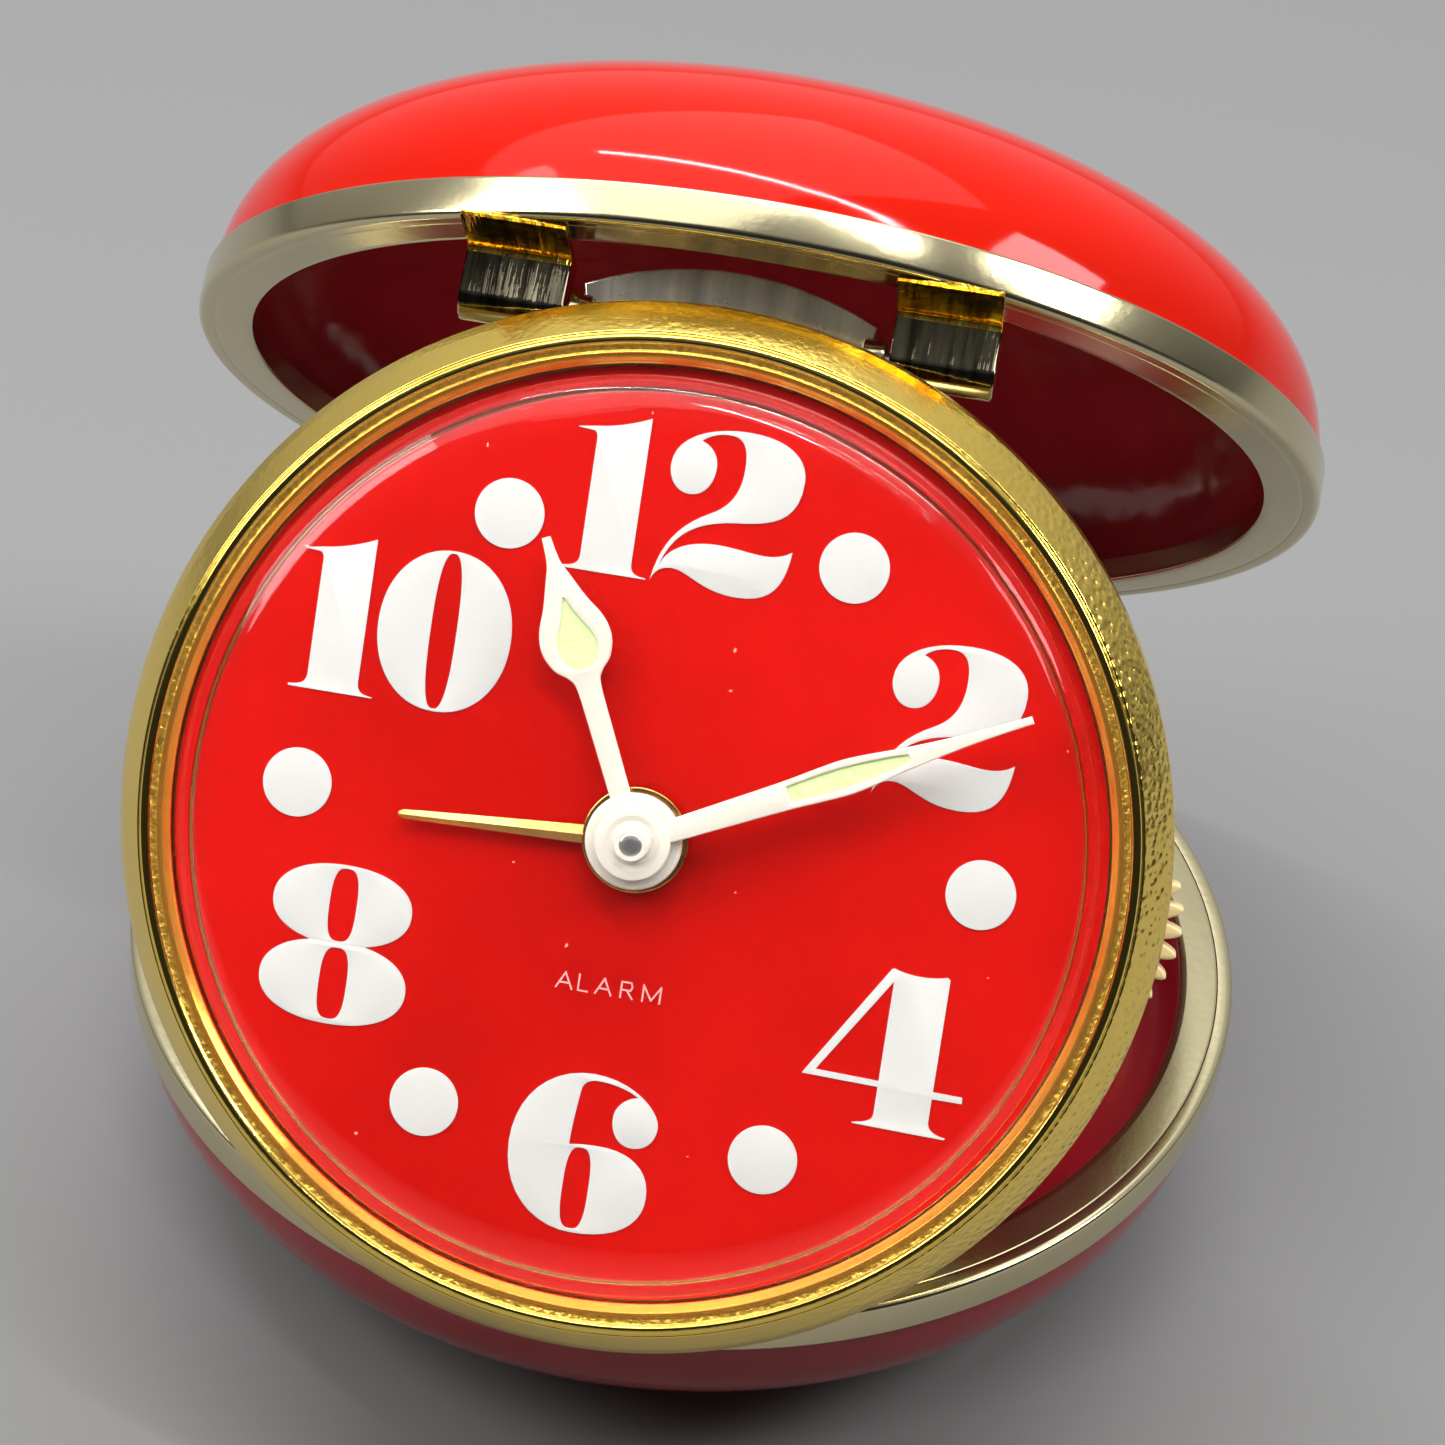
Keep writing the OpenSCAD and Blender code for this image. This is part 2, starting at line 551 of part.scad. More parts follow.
module balance_wheel() color([0.84, 0.7, 0.38]) at_clock() train_arbor(balance_at) {
    tube(balance_r, balance_r - 0.7, -8.8, -8);
    translate([0, 0, -8.6]) linear_extrude(0.4) difference() {
        union() {
            square([2 * balance_r - 0.9, 0.8], center = true);
            circle(1, $fn = 32);
        }
        circle(pivot_r);
    }
    translate([0, 0, -11.2]) linear_extrude(0.5) difference() {
        circle(1.3, $fn = 32);
        circle(pivot_r);
    }
}
module hairspring() color([0.5, 0.5, 0.55]) at_clock() translate([balance_at.x, balance_at.y, -7.5])
    linear_extrude(0.3) spiral(0.7, 3.6, 5, 0.12);
module regulator() color([0.83, 0.7, 0.36]) at_clock() translate([balance_at.x, balance_at.y, 0]) {
    translate([0, 0, back_z - plate_t - 1]) linear_extrude(0.6) difference() {
        union() {
            circle(1.5, $fn = 48);
            translate([-5.9, -0.4]) square([5, 0.8]);
        }
        circle(pivot_r + 0.1);
    }
    translate([-5.7, 0, 0]) shaft(0.4, -drum_back - cover_t - 0.7, back_z - plate_t - 1);
}

// Alarm side
module alarm_barrel() color([0.82, 0.68, 0.32]) at_clock()
    translate([alarm_barrel_at.x, alarm_barrel_at.y, 0]) {
        gear(alarm_great_n, centre_m, -7.1, 0.6, key_arbor_r + play);
        difference() {
            shaft(alarm_barrel_r, -11.4, -7);
            shaft(alarm_barrel_r - 0.5, -11, -7.4);
            shaft(key_arbor_r + play, -20, 0);
        }
    }
module alarm_mainspring() color([0.45, 0.47, 0.52]) at_clock()
    translate([alarm_barrel_at.x, alarm_barrel_at.y, -10.8]) linear_extrude(3.2) spiral(1.6, 5.6, 4, 0.25);
module alarm_star_wheel() color([0.82, 0.68, 0.32]) at_clock() train_arbor(star_at) {
    rotate(mesh_turn(star_dir, 0, alarm_great_n, alarm_pinion_n)) gear(alarm_pinion_n, centre_m, -6.9, 0.6, pivot_r);
    translate([0, 0, -12.3]) linear_extrude(0.5) difference() {
        polygon([for (i = [0:star_n - 1], k = [0:1])
            polar(k == 0 ? star_r : star_r - 0.9, (i + k / 2) * 360 / star_n)]);
        circle(pivot_r);
    }
}
hammer_to_star = atan2(star_at.y - hammer_at.y, star_at.x - hammer_at.x);
module alarm_hammer() color([0.7, 0.7, 0.7]) at_clock() train_arbor(hammer_at) {
    translate([0, 0, -8]) linear_extrude(0.8) difference() {
        union() {
            circle(0.9, $fn = 32);
            rotate(70) translate([0, -0.3]) square([6, 0.6]);
        }
        circle(pivot_r);
    }
    translate([0, 0, -12.3]) linear_extrude(0.6) difference() {
        union() {
            circle(0.9, $fn = 32);
            for (s = [-1, 1]) rotate(hammer_to_star + s * 33) translate([0, -0.3]) square([5.8, 0.6]);
            for (s = [-1, 1]) rotate(hammer_to_star) translate([4.4, s * 3.2 - 0.25]) square([1.3, 0.5]);
        }
        circle(pivot_r);
    }
    rotate(70) translate([6.2, 0, 0]) shaft(1.2, -8.6, -6.2);
}
module alarm_stop_button() color([0.94, 0.88, 0.7]) at_clock() translate([stop_at.x, stop_at.y, 0]) {
    shaft(1.45, -drum_back - cover_t - 1.6, back_z - plate_t - 1.7);
    shaft(2.3, -drum_back - cover_t - 2.4, -drum_back - cover_t - 1.6);
}

base_bowl();
base_rim();
base_hinge_leaf();
rear_hinge_pin();
lid_dome();
lid_rim();
lid_hinge_leaf();
hinge_block_left();
hinge_block_right();
bezel();
crystal();
dial();
hour_dots();
drum();
back_cover();
cover_screws();
hinge_bracket();
clock_hinge_pins();
front_plate();
back_plate();
plate_pillars();
minute_hand();
cannon_pinion();
hour_hand();
hour_wheel();
minute_wheel();
alarm_hand();
alarm_wheel();
alarm_idler();
time_set_knob();
time_set_arbor();
alarm_set_knob();
alarm_set_arbor();
time_key();
barrel_arbor();
barrel();
mainspring();
centre_wheel();
third_wheel();
fourth_wheel();
escape_wheel();
pallet_lever();
balance_wheel();
hairspring();
regulator();
alarm_key();
alarm_barrel();
alarm_mainspring();
alarm_star_wheel();
alarm_hammer();
alarm_stop_button();
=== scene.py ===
import json
import math

import bmesh
import bpy
import numpy as np
from bpy.props import FloatProperty, FloatVectorProperty, IntProperty, PointerProperty
from mathutils import Matrix, Vector


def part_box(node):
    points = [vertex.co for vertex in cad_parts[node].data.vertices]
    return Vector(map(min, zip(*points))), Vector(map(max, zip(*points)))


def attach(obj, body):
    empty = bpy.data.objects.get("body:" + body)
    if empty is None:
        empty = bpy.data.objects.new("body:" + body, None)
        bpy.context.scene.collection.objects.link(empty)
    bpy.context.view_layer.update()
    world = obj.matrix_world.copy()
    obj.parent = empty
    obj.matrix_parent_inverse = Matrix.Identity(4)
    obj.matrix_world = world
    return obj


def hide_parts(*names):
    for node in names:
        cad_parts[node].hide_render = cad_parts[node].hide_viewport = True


bl_info = {
    "name": "Folding travel alarm clock",
    "version": (1, 0, 0),
    "blender": (4, 5, 0),
    "location": "3D View > Sidebar > Clock",
    "description": "Builds a folding travel alarm clock round its packed frame: the halves, the clock and the stage",
    "category": "Add Mesh",
}

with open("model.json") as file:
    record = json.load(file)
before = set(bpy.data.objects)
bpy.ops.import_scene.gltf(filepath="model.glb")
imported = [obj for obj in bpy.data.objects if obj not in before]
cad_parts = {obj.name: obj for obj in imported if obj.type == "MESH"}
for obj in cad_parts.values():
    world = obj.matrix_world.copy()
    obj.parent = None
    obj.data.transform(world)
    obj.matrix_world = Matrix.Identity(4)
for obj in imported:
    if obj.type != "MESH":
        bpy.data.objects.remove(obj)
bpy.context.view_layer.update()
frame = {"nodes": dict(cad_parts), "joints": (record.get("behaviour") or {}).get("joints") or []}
JOINTS = {joint["name"]: joint for joint in frame["joints"]}
MM = 0.001
ON_AXIS = 0.001                      # radius of a profile's point on its own axis, in millimetres
NEARLY_STRAIGHT = math.radians(88)   # half angle past which a corner isn't rounded
LARGEST_CUT = 0.48                   # share of a side that one rounded corner may take


# ---------------------------------------------------------------- frames of the three moving parts

def unit(v):
    v = np.asarray(v, float)
    return v / np.linalg.norm(v)


def clock_frame():
    """The dial's centre, and its right, up and outward directions, from the axis that the minute hand turns on."""
    out = -unit(JOINTS["minute_turn"]["axis"])
    right = np.array([1.0, 0.0, 0.0])
    return np.array(JOINTS["minute_turn"]["pos_m"]), np.stack([right, np.cross(out, right), out])


def lid_frame():
    """The centre of the lid's rim face, and its right, rearward and outward directions.
    The open lid leans by what is left of half a turn after the clock's own lean and the fold angle."""
    out = clock_frame()[1][2]
    lean = math.degrees(math.acos(np.clip(out[2], -1, 1)))
    tilt = math.radians(180 - lean - JOINTS["clock_fold"]["range_deg"][1])
    back = np.array([0.0, math.cos(tilt), -math.sin(tilt)])
    up = np.array([0.0, math.sin(tilt), math.cos(tilt)])
    hinge = np.array(JOINTS["lid_hinge"]["pos_m"])
    return hinge - back * hinge[1], np.stack([np.array([1.0, 0.0, 0.0]), back, up])


def base_frame():
    """The centre of the base's rim face, with its own outward direction pointing down into the bowl."""
    hinge = np.array(JOINTS["lid_hinge"]["pos_m"])
    axes = np.array([[-1.0, 0.0, 0.0], [0.0, 1.0, 0.0], [0.0, 0.0, -1.0]])
    return np.array([0.0, 0.0, hinge[2]]), axes


FRAMES = {"clock": clock_frame(), "lid": lid_frame(), "base": base_frame()}


def placed(points, where):
    """Millimetres in one part's own frame become metres in the shared frame: origin + x right + y up + z out."""
    origin, axes = FRAMES[where]
    return origin + (np.asarray(points, float) * MM) @ axes


# ---------------------------------------------------------------- meshes

def merged(piece, distance):
    """Joins vertices that lie on each other, then turns every face outwards."""
    mesh = bmesh.new()
    mesh.from_mesh(piece.data)
    bmesh.ops.remove_doubles(mesh, verts=mesh.verts, dist=distance)
    bmesh.ops.recalc_face_normals(mesh, faces=mesh.faces)
    mesh.to_mesh(piece.data)
    mesh.free()
    return piece


def make_piece(name, shape, looks, body, node=None, sharp=None, where="clock", kinds=None, weld=1e-7):
    """One finished object at the origin, with its place in its mesh, riding on its body and standing for its node.
    Edges sharper than the angle in degrees keep a crisp shade and the rest are smooth. With no angle, faces are flat
    and nothing is joined. The kinds give each face's finish, and the weld is the joining distance in metres."""
    points, faces = shape
    mesh = bpy.data.meshes.new(name)
    mesh.from_pydata(placed(points, where).tolist(), [], faces)
    for look in looks:
        mesh.materials.append(FINISH[look])
    if kinds is not None:
        mesh.polygons.foreach_set("material_index", np.asarray(kinds, np.int32))
    mesh.polygons.foreach_set("use_smooth", np.full(len(mesh.polygons), sharp is not None))
    mesh.validate()
    mesh.update()
    piece = bpy.data.objects.new(name, mesh)
    bpy.context.collection.objects.link(piece)
    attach(piece, body)
    if sharp is not None:
        merged(piece, weld)
    if node:
        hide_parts(node)
    if sharp is not None:
        piece.data.set_sharp_from_angle(angle=math.radians(sharp))


def turned(profile, steps):
    """A closed profile of (radius, height) turned round the z axis.
    Point (i, j) is at angle 360 i / steps with the radius and height of profile point j."""
    profile = np.asarray(profile, float)
    count = len(profile)
    angle = np.arange(steps) * 2 * math.pi / steps
    points = np.empty((steps, count, 3))
    points[..., 0] = np.cos(angle)[:, None] * profile[None, :, 0]
    points[..., 1] = np.sin(angle)[:, None] * profile[None, :, 0]
    points[..., 2] = profile[None, :, 1]
    i, j = np.meshgrid(np.arange(steps), np.arange(count), indexing="ij")
    i2, j2 = (i + 1) % steps, (j + 1) % count
    faces = np.stack([i * count + j, i2 * count + j, i2 * count + j2, i * count + j2], -1).reshape(-1, 4)
    return points.reshape(-1, 3), faces.tolist()


def round_corners(corners, radius, steps):
    """Rounds the corners of a closed profile, each by its own radius: a corner becomes a curve that touches both of
    its sides. Corners with no radius, and those that are nearly straight, stay."""
    corners = np.asarray(corners, float)
    out = []
    for k, corner in enumerate(corners):
        before, after = corners[k - 1] - corner, corners[(k + 1) % len(corners)] - corner
        u, v = unit(before), unit(after)
        half = math.acos(np.clip(u @ v, -1, 1)) / 2
        if radius[k] <= 0 or half > NEARLY_STRAIGHT:
            out.append(corner)
            continue
        cut = min(radius[k] / math.tan(half), LARGEST_CUT * np.linalg.norm(before), LARGEST_CUT * np.linalg.norm(after))
        t = np.linspace(0, 1, steps)[:, None]
        out.extend((1 - t) ** 2 * (corner + u * cut) + 2 * t * (1 - t) * corner + t ** 2 * (corner + v * cut))
    return np.array(out)


def flat_shape(loops, bottom, top, edge=0.0):
    """A solid of one even thickness from closed outlines, the first the outside and the rest holes.
    A 2D curve fills the outline, and its extrusion gives the thickness."""
    curve = bpy.data.curves.new("outline", "CURVE")
    curve.dimensions = "2D"
    curve.fill_mode = "BOTH"
    curve.extrude = (top - bottom) / 2 - edge
    curve.bevel_depth = edge
    curve.bevel_resolution = 2
    curve.offset = -edge
    for loop in loops:
        loop = np.asarray(loop, float)
        spline = curve.splines.new("POLY")
        spline.points.add(len(loop) - 1)
        spline.points.foreach_set("co", np.column_stack([loop, np.zeros(len(loop)), np.ones(len(loop))]).ravel())
        spline.use_cyclic_u = True
    holder = bpy.data.objects.new("outline", curve)
    bpy.context.collection.objects.link(holder)
    bpy.context.view_layer.update()
    mesh = bpy.data.meshes.new_from_object(holder)
    points = np.empty(len(mesh.vertices) * 3)
    mesh.vertices.foreach_get("co", points)
    points = points.reshape(-1, 3)
    points[:, 2] += (top + bottom) / 2
    faces = [list(p.vertices) for p in mesh.polygons]
    bpy.data.objects.remove(holder)
    bpy.data.curves.remove(curve)
    bpy.data.meshes.remove(mesh)
    return points, faces


def joined(parts):
    """Several (points, faces) as one."""
    points, faces, start = [], [], 0
    for p, f in parts:
        points.append(np.asarray(p, float))
        faces.extend([[int(v) + start for v in face] for face in f])
        start += len(p)
    return np.concatenate(points), faces


def spun(points, degrees, centre=(0, 0)):
    """Points turned in the xy plane about a centre."""
    a = math.radians(degrees)
    out = np.array(points, float)
    x, y = out[:, 0] - centre[0], out[:, 1] - centre[1]
    out[:, 0] = centre[0] + x * math.cos(a) - y * math.sin(a)
    out[:, 1] = centre[1] + x * math.sin(a) + y * math.cos(a)
    return out


# ---------------------------------------------------------------- shader groups and materials

def add_node(tree, kind, values=None, **settings):
    """One shader node with its settings, and the values of inputs that stay unlinked."""
    made = tree.nodes.new("ShaderNode" + kind)
    for key, value in settings.items():
        setattr(made, key, value)
    for key, value in (values or {}).items():
        made.inputs[key].default_value = value
    return made


def link_all(tree, *pairs):
    """Links each output to its input."""
    for source, target in pairs:
        tree.links.new(source, target)


def new_group(name, inputs, outputs):
    """An empty shader node group. An input's default, four numbers or one, makes it a colour or a value."""
    group = bpy.data.node_groups.new(name, "ShaderNodeTree")
    for key, value in inputs.items():
        kind = "NodeSocketColor" if isinstance(value, tuple) else "NodeSocketFloat"
        group.interface.new_socket(name=key, in_out="INPUT", socket_type=kind).default_value = value
    for key, kind in outputs.items():
        group.interface.new_socket(name=key, in_out="OUTPUT", socket_type=kind)
    return group, group.nodes.new("NodeGroupInput").outputs, group.nodes.new("NodeGroupOutput").inputs


def wear_group():
    """Fine wear: a cloudy variation of colour and roughness, and the height of a fine grain."""
    group, given, out = new_group(
        "fine_wear",
        {"Color": (0.8, 0.8, 0.8, 1), "Variation": 0.1, "Roughness": 0.2, "Smudge": 0.1, "Scale": 60.0,
         "Grain scale": 900.0},
        {"Color": "NodeSocketColor", "Roughness": "NodeSocketFloat", "Height": "NodeSocketFloat"})
    place = add_node(group, "TexCoord").outputs["Object"]
    cloud = add_node(group, "TexNoise", {"Detail": 4})
    centred = add_node(group, "Math", {1: 0.5}, operation="SUBTRACT")
    strength = add_node(group, "Math", {2: 1.0}, operation="MULTIPLY_ADD")
    tint = add_node(group, "Mix", {"Factor": 1.0}, data_type="RGBA", blend_type="MULTIPLY")
    rough = add_node(group, "Math", operation="MULTIPLY_ADD")
    grain = add_node(group, "TexNoise", {"Detail": 2})
    link_all(
        group,
        (place, cloud.inputs["Vector"]), (given["Scale"], cloud.inputs["Scale"]),
        (cloud.outputs["Fac"], centred.inputs[0]),
        (centred.outputs[0], strength.inputs[0]), (given["Variation"], strength.inputs[1]),
        (given["Color"], tint.inputs["A"]), (strength.outputs[0], tint.inputs["B"]),
        (tint.outputs["Result"], out["Color"]),
        (centred.outputs[0], rough.inputs[0]), (given["Smudge"], rough.inputs[1]),
        (given["Roughness"], rough.inputs[2]),
        (rough.outputs[0], out["Roughness"]),
        (place, grain.inputs["Vector"]), (given["Grain scale"], grain.inputs["Scale"]),
        (grain.outputs["Fac"], out["Height"]))
    return group


def shaded(name, color, roughness, metallic, variation, smudge, scale, grain, bump, depth=0.0002, **surface):
    """A material of one Principled shader fed by the fine wear group. Constant values go straight on the shader."""
    material = bpy.data.materials.new(name)
    material.use_nodes = True
    tree = material.node_tree
    shader = tree.nodes["Principled BSDF"]
    wear = add_node(
        tree, "Group",
        {"Color": (*color, 1), "Variation": variation, "Roughness": roughness, "Smudge": smudge, "Scale": scale,
         "Grain scale": grain},
        name="wear", node_tree=bpy.data.node_groups.get("fine_wear") or wear_group())
    relief = add_node(tree, "Bump", {"Strength": bump, "Distance": depth}, name="relief")
    shader.inputs["Metallic"].default_value = metallic
    for key, value in surface.items():
        shader.inputs[key.replace("_", " ")].default_value = value
    link_all(
        tree,
        (wear.outputs["Color"], shader.inputs["Base Color"]), (wear.outputs["Roughness"], shader.inputs["Roughness"]),
        (wear.outputs["Height"], relief.inputs["Height"]), (relief.outputs["Normal"], shader.inputs["Normal"]))
    return material


def dust_group():
    """Dust: a mask of small scattered specks, one to a cell at most, and only in some of the cells."""
    group, given, out = new_group(
        "dust_specks",
        {"Color": (0.8, 0.8, 0.8, 1), "Dust color": (0.8, 0.7, 0.65, 1), "Cells": 500.0, "Size": 0.1},
        {"Color": "NodeSocketColor"})
    place = add_node(group, "TexCoord").outputs["Object"]
    wobble = add_node(group, "TexNoise", {"Scale": 1400})
    shift = add_node(group, "VectorMath", {1: (0.0006, 0.0006, 0.0006)}, operation="MULTIPLY_ADD")
    cells, split = add_node(group, "TexVoronoi"), add_node(group, "SeparateColor")
    near = add_node(group, "Math", operation="LESS_THAN")
    some = add_node(group, "Math", {1: 0.72}, operation="GREATER_THAN")
    both = add_node(group, "Math", operation="MULTIPLY")
    mix = add_node(group, "Mix", data_type="RGBA")
    link_all(
        group,
        (place, wobble.inputs["Vector"]), (wobble.outputs["Color"], shift.inputs[0]), (place, shift.inputs[2]),
        (shift.outputs["Vector"], cells.inputs["Vector"]), (given["Cells"], cells.inputs["Scale"]),
        (cells.outputs["Distance"], near.inputs[0]), (given["Size"], near.inputs[1]),
        (cells.outputs["Color"], split.inputs["Color"]), (split.outputs["Red"], some.inputs[0]),
        (near.outputs[0], both.inputs[0]), (some.outputs[0], both.inputs[1]), (both.outputs[0], mix.inputs["Factor"]),
        (given["Color"], mix.inputs["A"]), (given["Dust color"], mix.inputs["B"]),
        (mix.outputs["Result"], out["Color"]))
    return group


def dusted(material, color, cells, size):
    """Scatters dust over a material's colour."""
    tree = material.node_tree
    dust = add_node(tree, "Group", {"Dust color": (*color, 1), "Cells": cells, "Size": size},
                    node_tree=bpy.data.node_groups.get("dust_specks") or dust_group())
    link_all(tree, (tree.nodes["wear"].outputs["Color"], dust.inputs["Color"]),
             (dust.outputs["Color"], tree.nodes["Principled BSDF"].inputs["Base Color"]))


def second_relief(tree, height, strength, distance):
    """A second bump that a height drives, laid over the material's own grain."""
    relief = add_node(tree, "Bump", {"Strength": strength, "Distance": distance})
    link_all(tree, (height, relief.inputs["Height"]), (tree.nodes["relief"].outputs["Normal"], relief.inputs["Normal"]),
             (relief.outputs["Normal"], tree.nodes["Principled BSDF"].inputs["Normal"]))


def streaked(material, stretch, scale, strength, color_strength=0.0):
    """Adds fine parallel streaks to a material: noise squeezed along one direction, as a bump over the grain."""
    tree = material.node_tree
    place, mapping = add_node(tree, "TexCoord"), add_node(tree, "Mapping", {"Scale": stretch})
    noise = add_node(tree, "TexNoise", {"Scale": scale, "Detail": 3})
    link_all(tree, (place.outputs["Object"], mapping.inputs["Vector"]),
             (mapping.outputs["Vector"], noise.inputs["Vector"]))
    second_relief(tree, noise.outputs["Fac"], strength, 0.0002)
    if color_strength:
        contrast = add_node(tree, "MapRange", {"From Min": 0.35, "From Max": 0.65, "To Min": 1 - color_strength,
                                               "To Max": 1 + color_strength})
        blend = add_node(tree, "Mix", {"Factor": 1.0}, data_type="RGBA", blend_type="MULTIPLY")
        link_all(tree, (noise.outputs["Fac"], contrast.inputs["Value"]),
                 (tree.nodes["wear"].outputs["Color"], blend.inputs["A"]),
                 (contrast.outputs["Result"], blend.inputs["B"]),
                 (blend.outputs["Result"], tree.nodes["Principled BSDF"].inputs["Base Color"]))


def hammered(material):
    """Shallow hammering on the bezel's right-hand side: small cells as a bump, faded in across the piece."""
    tree = material.node_tree
    place, split = add_node(tree, "TexCoord").outputs["Object"], add_node(tree, "SeparateXYZ")
    cells = add_node(tree, "TexVoronoi", {"Scale": 2000, "Smoothness": 0.7}, feature="SMOOTH_F1")
    fade = add_node(tree, "MapRange", {"From Min": 0.014, "From Max": 0.029, "To Min": 0.08, "To Max": 1.0})
    height = add_node(tree, "Math", operation="MULTIPLY")
    link_all(tree, (place, cells.inputs["Vector"]), (place, split.inputs["Vector"]),
             (split.outputs["X"], fade.inputs["Value"]),
             (cells.outputs["Distance"], height.inputs[0]), (fade.outputs["Result"], height.inputs[1]))
    second_relief(tree, height.outputs[0], 0.7, 0.00018)


def clear_acrylic():
    """Clear crystal: a smooth transmitting shader, with lamps let straight through so the dial is lit."""
    material = bpy.data.materials.new("clear_acrylic")
    material.use_nodes = True
    tree = material.node_tree
    shader = tree.nodes["Principled BSDF"]
    for key, value in (("Base Color", (1, 0.99, 0.985, 1)), ("Roughness", 0.015), ("IOR", 1.31),
                       ("Transmission Weight", 1.0)):
        shader.inputs[key].default_value = value
    path, open_way, mix = (add_node(tree, kind) for kind in ("LightPath", "BsdfTransparent", "MixShader"))
    link_all(tree, (path.outputs["Is Shadow Ray"], mix.inputs["Fac"]), (shader.outputs[0], mix.inputs[1]),
             (open_way.outputs[0], mix.inputs[2]), (mix.outputs[0], tree.nodes["Material Output"].inputs["Surface"]))
    return material


# Each finish: its colour, or the property that holds it, then roughness, metallic, variation, smudge, scale, grain and
# bump.
LOOKS = {
    "lid_plastic": ("lid_red", 0.07, 0, 0.06, 0.06, 40, 700, 0.012),
    # The lid's lining is the lid's red plastic made darker, as painted shade inside the lid
    "lid_lining_painted_shade": ("shaded_lining_red", 0.17, 0, 0.9, 0.15, 85, 130, 1.0),
    # The base's outside is its red plastic made darker, as painted shade on its underside
    "base_plastic": ("shaded_base_red", 0.14, 0, 0.1, 0.1, 45, 600, 0.02),
    "base_lining": ("bowl_red", 0.2, 0, 0.2, 0.1, 70, 250, 0.04),
    "pale_gold": ("pale_gold", 0.17, 1, 0.12, 0.12, 90, 1400, 0.03),
    "bezel_gold": ("bezel_gold", 0.2, 1, 0.14, 0.1, 110, 2600, 0.12),
    "bright_gold": ("bezel_gold", 0.1, 1, 0.1, 0.08, 200, 2200, 0.05),
    "groove_gold": ((0.80, 0.46, 0.07), 0.34, 0.7, 1.3, 0.3, 2600, 2400, 0.9),
    "orange_gold": ((0.95, 0.40, 0.06), 0.16, 0.75, 0.3, 0.1, 300, 1200, 0.08),
    "block_gold": ((0.93, 0.58, 0.08), 0.16, 1, 0.5, 0.2, 700, 1800, 0.2),
    # The hinge block's front is its gold made nearly black, a painted dark reflection
    "block_painted_dark_reflection": ((0.17, 0.15, 0.10), 0.06, 1, 0.3, 0.08, 500, 1500, 0.04),
    "dial_enamel": ("dial_red", 0.3, 0, 0.7, 0.08, 55, 2500, 0.04),
    "dial_ink": ("ink_white", 0.42, 0, 0.05, 0.1, 200, 2500, 0.04),
    "small_ink": ((0.86, 0.35, 0.34), 0.5, 0, 0.1, 0.1, 300, 900, 0.02),
    "hand_enamel": ("hand_ivory", 0.3, 0, 0.08, 0.1, 260, 1500, 0.06),
    "pale_lume": ("lume", 0.7, 0, 0.3, 0.1, 900, 2400, 0.4),
    "alarm_brass": ((0.62, 0.38, 0.12), 0.26, 1, 0.35, 0.15, 400, 1800, 0.15),
    "pin_steel": ((0.80, 0.80, 0.78), 0.32, 1, 0.3, 0.1, 900, 2500, 0.2),
    "plate_steel": ((0.80, 0.80, 0.77), 0.28, 0.75, 0.3, 0.15, 320, 900, 0.05),
    "drum_brass": ((0.70, 0.56, 0.26), 0.28, 1, 0.2, 0.15, 120, 1500, 0.08),
    "cover_metal": ((0.66, 0.60, 0.46), 0.3, 1, 0.15, 0.2, 90, 1600, 0.1),
    "movement_brass": ((0.76, 0.58, 0.26), 0.26, 1, 0.18, 0.2, 200, 1200, 0.08),
    "movement_steel": ((0.55, 0.55, 0.55), 0.25, 1, 0.2, 0.2, 200, 1200, 0.08),
    "knob_ivory": ("knob_ivory", 0.38, 0, 0.08, 0.1, 160, 900, 0.1),
}
# Depth of the bump in metres, and constants for the shader's own sockets.
SURFACE = {
    "lid_plastic": {"IOR": 1.4, "Specular_IOR_Level": 0.32},
    "lid_lining_painted_shade": {"depth": 0.0005, "IOR": 1.6},
    "base_plastic": {"IOR": 1.5},
    "base_lining": {"IOR": 1.5},
    "dial_enamel": {"IOR": 1.45},
    "knob_ivory": {"Subsurface_Weight": 0.15, "Subsurface_Radius": (0.002, 0.0015, 0.001), "Subsurface_Scale": 0.3},
}
# Streaks: how the noise is squeezed, its scale, the strength of its bump, and of its colour where it has any.
STREAKS = {
    "pale_gold": ((1, 1, 14), 120, 0.02),
    "block_gold": ((4, 0.3, 0.3), 420, 0.8, 0.45),
    "block_painted_dark_reflection": ((3, 0.25, 0.25), 500, 0.3, 0.6),
    "plate_steel": ((6, 0.3, 0.3), 90, 0.5, 0.3),
    "drum_brass": ((1, 1, 1), 60, 0.05),
    "movement_brass": ((8, 1, 1), 90, 0.1),
}
# Dust: the colour of a speck, cells to a metre, and how much of a cell a speck takes.
DUST = {"lid_plastic": ((0.9, 0.25, 0.15), 200, 0.022), "dial_enamel": ((0.78, 0.30, 0.22), 420, 0.045)}
FINISH = {}


def make_finishes():
    """Makes every finish of the clock, by name, once."""
    palette = bpy.context.scene.clock_colors
    for name, (color, *values) in LOOKS.items():
        color = getattr(palette, color) if isinstance(color, str) else color
        FINISH[name] = shaded(name, color, *values, **SURFACE.get(name, {}))
    for name, values in STREAKS.items():
        streaked(FINISH[name], *values)
    for name, values in DUST.items():
        dusted(FINISH[name], *values)
    hammered(FINISH["bezel_gold"])
    FINISH["clear_acrylic"] = clear_acrylic()


# ---------------------------------------------------------------- sizes and colours

def length(name, description, default, low, high):
    """A size in millimetres."""
    return FloatProperty(name=name, description=description + ", in millimetres", default=default, min=low, max=high)


def tint(name, description, *default):
    """A colour in linear light."""
    return FloatVectorProperty(name=name, description=description, subtype="COLOR", size=3, default=default)


